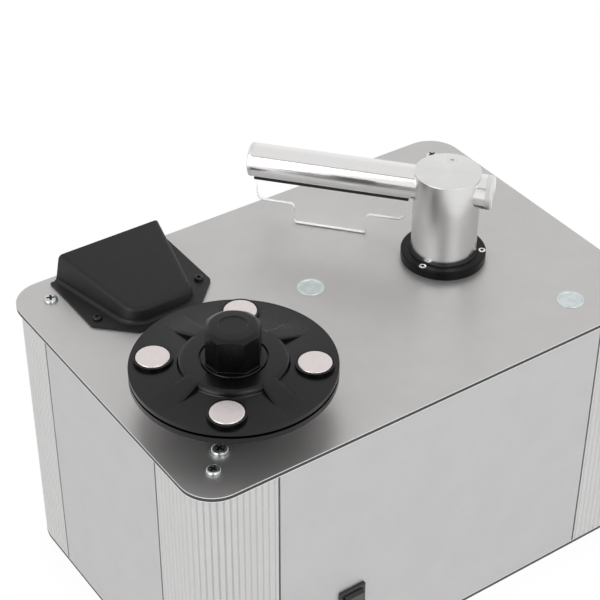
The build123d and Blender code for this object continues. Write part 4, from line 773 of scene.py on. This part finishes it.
# Profiles are (radius, height) points, over the panel for the platter and over the clamp's underside for the rest.
SEGMENTS = 192
CLAMP_RISE = 26.0
QUARTERS = [radians(-37.3) + quarter * pi / 2 for quarter in range(4)]
CLAMP_TURN = QUARTERS[0]
MAGNET_CIRCLE = 40.7
PLATTER = [
    (5.03, 3.8), (15, 3.8), (15, 20.4), (48, 20.4), (48, 21.4), (53, 21.4), (53, 24.4), (50, 24.4),
    (50, 23.9), (44.5, 23.9), (44.5, 24.4), (3.58, 24.4), (3.58, 23.4), (5.03, 23.4),
]
SOCKET_RADIUS, SOCKET_START, SOCKET_END = 6.03, 18.0, 23.4
# Radius, height, and how far the rounding of the sides lowers it.
LAND = [(19.2, 2.0, 0), (42.6, 2.0, 0), (42.0, 2.5, 0.3), (28.2, 6.4, 1), (24.0, 6.3, 1), (19.2, 6.3, 1)]
LAND_HALF = 10.0
LAND_SHOULDER = 8.0
LAND_ROUND = 1.4
LAND_LEANS = (-10.0, -9.9, -9.5, -8.8, -8.0, -5.0, 0.0, 5.0, 8.0, 8.8, 9.5, 9.9, 10.0)
CLAMP = [
    (3.6, 1.2), (42, 1.2), (42, 0), (44.5, 0), (44.5, 0.5), (50, 0.5), (50, 0), (53, 0), (53, 2.3),
    (52.1, 2.3), (51.4, 2.35), (29.6, 3.15), (28.6, 3.4), (28.2, 3.9), (28.1, 4.5), (27.7, 5.3), (27.0, 5.95),
    (26.1, 6.3), (25.2, 6.4), (17.7, 6.4), (17.7, 4.9), (3.6, 4.9),
]
BOSS_RADIUS, BOSS_START, BOSS_END = 10.1, 1.6, 4.55
GROOVE_RADIUS, GROOVE_START, GROOVE_END = 9.15, 2.0, 6.0
LABEL_MAGNET = [(8.75, 0), (8.75, 2.6), (8.35, 3.0), (0.02, 3.0), (0.02, 0)]
MAGNET_SEAT = 2.0
KNOB_HALF, KNOB_CUT, KNOB_CORNER = 13.6, 6.9, 0.7
KNOB_START, KNOB_END = 5.0, 26.6
KNOB_CONE = [
    (0.02, 4.0), (18.0, 4.0), (18.0, 22.5), (15.0, 24.3), (12.0, 26.1), (9.7, 26.3), (7.6, 26.4), (7.3, 26.15),
    (6.85, 25.8), (0.02, 25.8),
]
# Half widths and heights of the knob's stepped foot.
KNOB_LIP = ((14.1, 5.5), (14.1, 7.1), (13.9, 7.3))
KNOB_SKIRT = [(0.02, 4.9), (16.7, 4.9), (16.7, 6.0), (16.5, 6.35), (16.2, 6.5), (0.02, 6.5)]
KNOB_BORE, KNOB_BORE_DEPTH = 4.15, 13.9


def magnet_discs(name, base, start, end, radius, segments=48):
    """A cylinder at each magnet's place, between two heights over a level in metres."""
    made = []
    for turn in QUARTERS:
        x, y = SPINDLE.x + MAGNET_CIRCLE * MM * cos(turn), SPINDLE.y + MAGNET_CIRCLE * MM * sin(turn)
        made.append(disc(name, x, y, base + start * MM, base + end * MM, radius * MM, segments))
    return made


platter_disc = lathe("platter_disc", PLATTER, SPINDLE, SEGMENTS, closed=True)
carve(platter_disc, magnet_discs("socket", PANEL_TOP, SOCKET_START, SOCKET_END, SOCKET_RADIUS))
dress(ease(platter_disc, 0.4, 4), "platter", BLACK_MACHINED, "black_shell", "platter")

clamp_axis = SPINDLE + Vector((0, 0, CLAMP_RISE)) * MM


def polar_points(ring):
    """Turns (radius, turn, height) points about the clamp's axis into places."""
    return [clamp_axis + Vector((r * cos(t), r * sin(t), h)) * MM for r, t, h in ring]


def spoke(middle):
    """A raised land that falls from the hub to the clamp's dish, its sides rounded over."""
    rings = []
    for lean in LAND_LEANS:
        turn = middle + radians(lean)
        past = max(abs(lean) - LAND_SHOULDER, 0) / (LAND_HALF - LAND_SHOULDER)
        drop = LAND_ROUND * (1 - sqrt(1 - past * past))
        rings.append(polar_points([(r, turn, h - share * drop) for r, h, share in LAND]))
    return skin("spoke", rings)


def clamp_body():
    """The clamp's disc with its hub, four lands and four bosses grooved for the magnets."""
    body = lathe("clamp_body", CLAMP, clamp_axis, SEGMENTS, closed=True)
    lands = [spoke(CLAMP_TURN + (quarter + 0.5) * pi / 2) for quarter in range(4)]
    lands += magnet_discs("boss", clamp_axis.z, BOSS_START, BOSS_END, BOSS_RADIUS, 64)
    carve(body, lands, "UNION")
    return carve(body, magnet_discs("groove", clamp_axis.z, GROOVE_START, GROOVE_END, GROOVE_RADIUS, 64))


clamp_plate = ease(clamp_body(), 0.5, 4, angle=28)
dress(clamp_plate, "clamp", BLACK_MACHINED, "black_shell", "clamp_disc")

magnet_places = polar_points([(MAGNET_CIRCLE, turn, MAGNET_SEAT) for turn in QUARTERS])
magnets = [lathe("magnet", LABEL_MAGNET, place, 72, closed=True) for place in magnet_places]
dress(ease(join("label_magnets", magnets), 0.2, 3), "clamp", MAGNET, "nickel_magnet", "clamp_magnets")


def knob_ring(half, height):
    """A square with cut corners, each of its eight corners rounded, in line with the clamp's magnets."""
    keep = half - KNOB_CUT
    points = [
        (half, -keep), (half, keep), (keep, half), (-keep, half),
        (-half, keep), (-half, -keep), (-keep, -half), (keep, -half),
    ]
    ring = []
    for p in rounded(points, KNOB_CORNER, 5):
        place = Vector((p.x, p.y, height))
        place.rotate(Matrix.Rotation(CLAMP_TURN, 3, "Z"))
        ring.append(clamp_axis + place * MM)
    return ring


def knob():
    """An eight-sided grip with a coned and dished top, on a stepped foot."""
    body = skin("knob_body", [knob_ring(KNOB_HALF, height) for height in (KNOB_START, KNOB_END)])
    carve(body, [lathe("cone", KNOB_CONE, clamp_axis, SEGMENTS, closed=True)], "INTERSECT")
    lip = skin("knob_lip", [knob_ring(half, height) for half, height in KNOB_LIP])
    skirt = lathe("skirt", KNOB_SKIRT, clamp_axis, SEGMENTS, closed=True)
    carve(body, [lip, skirt], "UNION")
    x, y, z = clamp_axis
    return carve(body, [disc("bore", x, y, z, z + KNOB_BORE_DEPTH * MM, KNOB_BORE * MM)])


grip = ease(knob(), 0.35, 3, angle=24)
grip.name = "knob_grip"
dress(grip, "clamp", BLACK_MACHINED, "black_shell", "clamp_knob")

# ---- arm

# Profiles are (radius, height) points over the panel, or (distance, radius) points out along the tube.
PARK = radians(131.3)
TUBE_AXIS = 47.2
COLUMN_RADIUS = 18.8
COLUMN_TOP = 57.5
COLUMN = [
    (0.02, 31.5), (16.5, 31.5), (16.5, -32), (COLUMN_RADIUS, -32), (COLUMN_RADIUS, 57.0), (18.76, 57.19),
    (18.65, 57.35), (18.49, 57.46), (18.3, COLUMN_TOP), (0.02, COLUMN_TOP),
]
COLUMN_SEGMENTS = 256
KEYWAY_DEPTH, KEYWAY_HALF, KEYWAY_START = 1.2, 1.6, -33.0
TUBE_HOLE, TUBE_HOLE_REACH = 9.73, 21
AIR_RADIUS, AIR_START = 6.5, 30
LOCK_ACROSS = -11.8
LOCK_SINK = [(1.53, -14), (1.53, -1.4), (2.93, 0), (3.0, 1)]
LOCK_SCREW = [(1.5, -14), (1.5, -1.4), (2.9, 0)]
LOCK_SOCKET = 2.0
SPRING_RADIUS = 16.8
WIRE_RADIUS = 0.8
WIRE_SIDES = 12
SPRING_TURNS = 4
SPRING_STEPS = 48
SPRING_FLAT = 0.12
TUBE_RADIUS = 9.7
TUBE_BORE = 8.2
TUBE_FLAT = 8.837
TUBE_ENDS = (-22.5, 111.3)
TUBE_SPANS = 40
TUBE_SIDES = 128
SLOT_ENDS = (28.5, 105.8)
SLOT_HALF = 0.8
SLOT_RISES = (-9.0, -1.0)
END_CAP = [(106.3, 8.17), (111.33, 8.17), (111.33, TUBE_RADIUS), (113.0, TUBE_RADIUS), (113.8, 8.9)]
CAP_FLAT = 8.9
REAR_PLUG = [(-17.5, 8.17), (-22.53, 8.17), (-22.53, TUBE_RADIUS), (-25.2, TUBE_RADIUS), (-26.0, 8.9)]
COLLAR_TOP = 5.5
COLLAR = [
    (19.1, 0), (24.5, 0), (24.5, 4.8), (24.3, 5.2), (23.8, COLLAR_TOP), (19.6, COLLAR_TOP), (19.6, 3.5), (19.1, 3.5),
]
COLLAR_SCREW_CIRCLE = 22.1
COLLAR_SCREW_TURN = -160.0
COLLAR_SINK = [(1.65, -9), (1.65, -0.65), (2.3, 0), (2.4, 0.4)]
COLLAR_SCREW = [(1.5, -12), (1.5, -0.65), (2.12, 0), (1.95, 0.16), (1.5, 0.25)]
COLLAR_SOCKET = 1.9
COLLAR_SHADE = 1.3
arm_axes = Matrix.Rotation(PARK, 3, "Z")
TUBE_TURN = Matrix((arm_axes.col[1], arm_axes.col[2], arm_axes.col[0])).transposed()


def along_tube(distance, across=0.0, rise=0.0):
    """A place this far out along the parked tube."""
    place = arm_axes @ Vector((distance, across, 0))
    return ARM + (place + Vector((0, 0, TUBE_AXIS + rise))) * MM


def tube_ring(distance, radius, flat):
    """A ring about the tube's axis, cut flat below where flat is not zero."""
    ring = []
    for step in range(TUBE_SIDES):
        turn = 2 * pi * (step + 0.5) / TUBE_SIDES
        rise = radius * sin(turn)
        if flat:
            rise = max(rise, -flat)
        ring.append(along_tube(distance, radius * cos(turn), rise))
    return ring


def rod(name, profile, flat=0.0):
    """Turns (distance, radius) points about the tube's axis."""
    return skin(name, [tube_ring(d, r, flat) for d, r in profile])


def air_hole():
    """A cutter for the passage from the tube down into the column's bore."""
    return disc("air_hole", ARM.x, ARM.y, ARM.z + AIR_START * MM, ARM.z + TUBE_AXIS * MM, AIR_RADIUS * MM)


column = lathe("column_body", COLUMN, ARM, COLUMN_SEGMENTS, closed=True)
keyway_place = ARM + Vector((-COLUMN_RADIUS * cos(PARK), -COLUMN_RADIUS * sin(PARK), 0)) * MM
keyway = []
for z in (KEYWAY_START, 0.0):
    corners = [(u * KEYWAY_DEPTH, v * KEYWAY_HALF, z) for u, v in SQUARE]
    keyway.append([keyway_place + (arm_axes @ Vector(corner)) * MM for corner in corners])
tube_hole = rod("tube_hole", [(-TUBE_HOLE_REACH, TUBE_HOLE), (TUBE_HOLE_REACH, TUBE_HOLE)])
air_cut = air_hole()
lock_place = ARM + (arm_axes @ Vector((0, LOCK_ACROSS, COLUMN_TOP))) * MM
sink = lathe("sink", LOCK_SINK, lock_place, 40)
carve(column, [tube_hole, air_cut, skin("keyway", keyway), sink])
dress(pivot(crisp(column), ARM), "arm", COLUMN_METAL, "arm_aluminium", "arm_column")

spring_low, spring_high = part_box("lift_spring")
rings = []
for step in range(SPRING_TURNS * SPRING_STEPS + 1):
    turn = 2 * pi * step / SPRING_STEPS
    out = Vector((cos(turn), sin(turn), 0))
    climb = min(max((step / (SPRING_TURNS * SPRING_STEPS) - SPRING_FLAT) / (1 - 2 * SPRING_FLAT), 0), 1)
    rise = spring_low.z + WIRE_RADIUS * MM + climb * (spring_high.z - spring_low.z - 2 * WIRE_RADIUS * MM)
    middle = Vector((ARM.x, ARM.y, rise)) + out * SPRING_RADIUS * MM
    wire = [2 * pi * i / WIRE_SIDES for i in range(WIRE_SIDES)]
    rings.append([middle + (out * cos(a) + Vector((0, 0, sin(a)))) * WIRE_RADIUS * MM for a in wire])
lift_coil = dress(crisp(skin("lift_coil", rings), 60), "swivel", STEEL, "spindle_steel", "lift_spring")
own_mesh(lift_coil)

tube_steps = [TUBE_ENDS[0] + (TUBE_ENDS[1] - TUBE_ENDS[0]) * i / TUBE_SPANS for i in range(TUBE_SPANS + 1)]
tube = rod("tube_body", [(d, TUBE_RADIUS) for d in tube_steps], TUBE_FLAT)
hollow = rod("hollow", [(TUBE_ENDS[0] - 1, TUBE_BORE), (TUBE_ENDS[1] + 1, TUBE_BORE)])
slot_start, slot_end = SLOT_ENDS
slot = [(slot_start, -SLOT_HALF), (slot_end, -SLOT_HALF), (slot_end, SLOT_HALF), (slot_start, SLOT_HALF)]
slot_cut = skin("suction_slot", [[along_tube(d, w, rise) for d, w in slot] for rise in SLOT_RISES])
carve(tube, [hollow, slot_cut, air_hole()])
dress(pivot(crisp(tube, 40), along_tube(0), TUBE_TURN), "arm", TUBE, "tube_aluminium", "arm_tube")

cap = rod("end_cap", END_CAP, CAP_FLAT)
dress(pivot(ease(cap, 0.1, 2, 30), along_tube(0), TUBE_TURN), "arm", TUBE_END, "tube_aluminium", "tube_end_cap")
plug = rod("rear_plug", REAR_PLUG)
dress(pivot(ease(plug, 0.1, 2, 30), along_tube(0), TUBE_TURN), "arm", TUBE_END, "tube_aluminium", "tube_rear_plug")

lock = lathe("lock_screw", LOCK_SCREW, lock_place, 40)
carve(lock, hex_recess(*lock_place, LOCK_SOCKET))
dress(ease(lock, 0.08, 2), "arm", TUBE_END, "chrome_screw", "tube_lock_screw")

collar = lathe("swivel_collar", COLLAR, ARM, SEGMENTS, closed=True)
sinks, heads = [], []
for third in range(3):
    turn = radians(COLLAR_SCREW_TURN + third * 120)
    place = ARM + Vector((COLLAR_SCREW_CIRCLE * cos(turn), COLLAR_SCREW_CIRCLE * sin(turn), COLLAR_TOP)) * MM
    sinks.append(lathe("sink", COLLAR_SINK, place, 32))
    head = lathe("head", COLLAR_SCREW, place, 32)
    heads.append(carve(head, hex_recess(place.x, place.y, place.z + COLLAR_SCREW[-1][1] * MM, COLLAR_SOCKET, turn)))
carve(collar, sinks)
dress(ease(collar, 0.15, 2), "cabinet", BLACK_ANODISED, "black_shell", "arm_collar")
collar_heads = ease(join("collar_screw_heads", heads), 0.05, 2)
dress(collar_heads, "cabinet", CHROME, "chrome_screw", "collar_screws")
shade_recesses(collar_heads, "collar_screws", ARM.z + COLLAR_TOP * MM, COLLAR_SCREW[-1][1], COLLAR_SHADE)

# ---- clear stop plate

# Points are (distance along the parked tube, height over the panel).
PLATE_CORNERS = [(-44, 50), (-44, 13), (-21.3, 13), (-21.3, 0.3), (21.3, 0.3), (21.3, 13), (44, 13), (44, 50)]
PLATE_RADII = [4.5, 4.5, 3.0, 1.5, 1.5, 3.0, 4.5, 4.5]
PLATE_STEPS = 8
PLATE_HALF = 1.0
PEG_MIDDLES, PEG_HALF, PEG_START, PEG_END = (-12, 12), 5, -6, 0.25
SAWN_GLOW_HALF = 1.02
SAWN_GLOW_DEPTH = 0.8
# The corners at which the plate's three bottom edges start, whitened as a painted glow of light carried through the
# sheet.
SAWN_GLOW_CORNERS = (1, 3, 5)
plate_middle = Vector((centre("arm_stop_plate").x, centre("arm_stop_plate").y, PANEL_TOP))


def upright_sheet(name, points, half):
    """An upright sheet in line with the parked tube."""
    rings = []
    for depth in (-half, half):
        places = [arm_axes @ Vector((along, depth, 0)) + Vector((0, 0, height)) for along, height in points]
        rings.append([plate_middle + place * MM for place in places])
    return skin(name, rings)


plate_outline = rounded(PLATE_CORNERS, PLATE_RADII, PLATE_STEPS)
plate_sheet = upright_sheet("sheet", plate_outline, PLATE_HALF)
pegs = []
for middle in PEG_MIDDLES:
    start, end = middle - PEG_HALF, middle + PEG_HALF
    corners = [(start, PEG_START), (end, PEG_START), (end, PEG_END), (start, PEG_END)]
    pegs.append(upright_sheet("peg", corners, PLATE_HALF))
clear_plate = ease(join("clear_plate", [plate_sheet, *pegs]), 0.1, 1, angle=50)
dress(clear_plate, "cabinet", ACRYLIC, "clear_acrylic", "arm_stop_plate")
clear_plate.visible_shadow = False

# White strips on the bottom edges only: a frosted sawn edge, and a painted glow where light shows along them.
edges = []
for corner in SAWN_GLOW_CORNERS:
    chain = plate_outline[corner * (PLATE_STEPS + 1) : (corner + 2) * (PLATE_STEPS + 1)]
    raised = [p + Vector((0, SAWN_GLOW_DEPTH)) for p in reversed(chain)]
    edges.append(upright_sheet("edge", chain + raised, SAWN_GLOW_HALF))
dress(join("plate_edges_painted_glow", edges), "cabinet", SAWN_EDGE_GLOW, "clear_acrylic")

# ---- floor, light and camera

FLOOR_HALF = 4.0
FLOOR_TONE = 0.9
FLOOR_GLOW = 1.04
GLOW_SHARE = 0.9
# The world is this bright as a light, and this bright at the horizon and overhead where it is seen.
SKY_LIGHT = 0.5
SKY_HORIZON, SKY_TOP = 1.0, 0.88
SKY_FADE = (0.45, 0.9)
MIDDLE = Vector((0.0, 0.0, 0.2))
# Name, azimuth, elevation, distance, width, height, power, and whether it shows in gloss and in diffuse; in metres.
LAMPS = [
    ("overhead_box", 60, 72, 2.2, 1.6, 1.6, 9.5, False, True),
    ("right_box", 270, 24, 2.2, 1.3, 1.9, 17.0, False, True),
    ("right_sheen", 270, 24, 2.2, 1.3, 1.9, 17.0, True, False),
    ("right_strip", 266, 42, 2.1, 0.6, 0.8, 5.0, True, False),
    ("left_box", 190, 20, 2.2, 1.4, 2.1, 10.0, False, True),
    ("left_sheen", 191, 20, 2.2, 1.4, 2.1, 9.0, True, False),
    ("left_strip", 193, 19, 2.1, 1.2, 1.9, 12.0, True, False),
]
# The top sheet is spared these, or it would burn out from low down.
SPARING = ("right_sheen", "left_sheen")
# Name, azimuth, elevation, distance, width and height.
CARDS = [("seam_beside", 229, 20, 2.0, 0.7, 2.4), ("seam_above", 208, 51, 2.0, 2.4, 0.16)]
# The photograph's camera, worked out from the panel's edges and the round parts.
LENS = 102.55
SHIFT = (-0.0696, 0.0350)
AIM = (
    (0.81376709, 0.34268475, -0.46941484, -0.4485),
    (-0.58091206, 0.50461354, -0.63867548, -0.62208),
    (0.01800873, 0.79242182, 0.60970759, 0.75),
    (0, 0, 0, 1),
)


def direct_rays(tree):
    """1 where the camera looks, directly or in metal or glass, and otherwise 0."""
    ray = tree.nodes.new("ShaderNodeLightPath")
    total = ray.outputs["Is Camera Ray"]
    for kind in ("Is Glossy Ray", "Is Transmission Ray"):
        pair = tree.nodes.new("ShaderNodeMath")
        pair.operation = "MAXIMUM"
        tree.links.new(total, pair.inputs[0])
        tree.links.new(ray.outputs[kind], pair.inputs[1])
        total = pair.outputs["Value"]
    return total


corners = [(u * FLOOR_HALF, v * FLOOR_HALF, 0) for u, v in SQUARE]
floor = make_object("floor", corners, [(0, 1, 2, 3)], smooth=False)
floor_paint = bpy.data.materials.new("floor_paint")
floor_paint.use_nodes = True
tree = floor_paint.node_tree
tree.nodes.clear()
output = tree.nodes.new("ShaderNodeOutputMaterial")
paint = tree.nodes.new("ShaderNodeBsdfDiffuse")
paint.inputs["Color"].default_value = (FLOOR_TONE, FLOOR_TONE, FLOOR_TONE, 1)
glow = tree.nodes.new("ShaderNodeEmission")
glow.inputs["Color"].default_value = (1, 1, 1, 1)
glow.inputs["Strength"].default_value = FLOOR_GLOW
mix = tree.nodes.new("ShaderNodeMixShader")
seen = tree.nodes.new("ShaderNodeMath")
seen.operation = "MULTIPLY"
seen.inputs[1].default_value = GLOW_SHARE
tree.links.new(direct_rays(tree), seen.inputs[0])
tree.links.new(seen.outputs["Value"], mix.inputs["Fac"])
tree.links.new(paint.outputs["BSDF"], mix.inputs[1])
tree.links.new(glow.outputs["Emission"], mix.inputs[2])
tree.links.new(mix.outputs["Shader"], output.inputs["Surface"])
floor.data.materials.append(floor_paint)

world = bpy.data.worlds.new("studio")
bpy.context.scene.world = world
world.use_nodes = True
tree = world.node_tree
sky = tree.nodes["Background"]
sky.inputs["Color"].default_value = (1, 1, 1, 1)
height = tree.nodes.new("ShaderNodeTexCoord")
split = tree.nodes.new("ShaderNodeSeparateXYZ")
tree.links.new(height.outputs["Generated"], split.inputs["Vector"])
fade = tree.nodes.new("ShaderNodeMapRange")
tree.links.new(split.outputs["Z"], fade.inputs["Value"])
fade.inputs["From Min"].default_value, fade.inputs["From Max"].default_value = SKY_FADE
fade.inputs["To Min"].default_value = SKY_HORIZON
fade.inputs["To Max"].default_value = SKY_TOP
level = tree.nodes.new("ShaderNodeMapRange")
tree.links.new(direct_rays(tree), level.inputs["Value"])
level.inputs["To Min"].default_value = SKY_LIGHT
tree.links.new(fade.outputs["Result"], level.inputs["To Max"])
tree.links.new(level.outputs["Result"], sky.inputs["Strength"])


def around(azimuth, elevation, distance):
    """A place this far from the middle of the machine, and how something there turns to face it."""
    a, e = radians(azimuth), radians(elevation)
    place = MIDDLE + Vector((cos(a) * cos(e), sin(a) * cos(e), sin(e))) * distance
    return place, (MIDDLE - place).to_track_quat("-Z", "Y")


def lamp(name, azimuth, elevation, distance, width, height, power, in_gloss, in_diffuse):
    """A soft box that faces the machine. A flag keeps the sparing ones off the top sheet."""
    place, turn = around(azimuth, elevation, distance)
    light = bpy.data.lights.new(name, "AREA")
    light.shape = "RECTANGLE"
    light.size = width
    light.size_y = height
    light.energy = power
    fixture = bpy.data.objects.new(name, light)
    fixture.location = place
    fixture.rotation_euler = turn.to_euler()
    fixture.visible_glossy = in_gloss
    fixture.visible_diffuse = in_diffuse
    if name in SPARING:
        flag = bpy.data.collections.new(name + "_flag")
        flag.objects.link(top_sheet)
        flag.collection_objects[0].light_linking.link_state = "EXCLUDE"
        fixture.light_linking.receiver_collection = flag
    bpy.context.scene.collection.objects.link(fixture)


def card(name, azimuth, elevation, distance, width, height):
    """A black card that only reflections show, as a seam between soft boxes."""
    place, facing = around(azimuth, elevation, distance)
    turn = facing.to_matrix()
    half_sizes = [(u * width / 2, v * height / 2, 0) for u, v in SQUARE]
    corners = [place + turn @ Vector(point) for point in half_sizes]
    made = make_object(name, corners, [(0, 1, 2, 3)], smooth=False)
    made.data.materials.append(CARD)
    made.visible_camera = False
    made.visible_diffuse = False
    made.visible_shadow = False
    made.visible_transmission = False


CARD = bpy.data.materials.new("black_card")
CARD.use_nodes = True
matt = CARD.node_tree.nodes["Principled BSDF"].inputs
matt["Base Color"].default_value = (0.01, 0.01, 0.01, 1)
matt["Specular IOR Level"].default_value = 0.0
for row in LAMPS:
    lamp(*row)
for row in CARDS:
    card(*row)

view = bpy.data.cameras.new("camera")
view.sensor_width = 36.0
view.lens = LENS
view.shift_x, view.shift_y = SHIFT
view.clip_start = 0.01
camera = bpy.data.objects.new("camera", view)
camera.matrix_world = Matrix(AIM)
bpy.context.scene.collection.objects.link(camera)
bpy.context.scene.camera = camera
bpy.context.scene.view_settings.view_transform = "Standard"
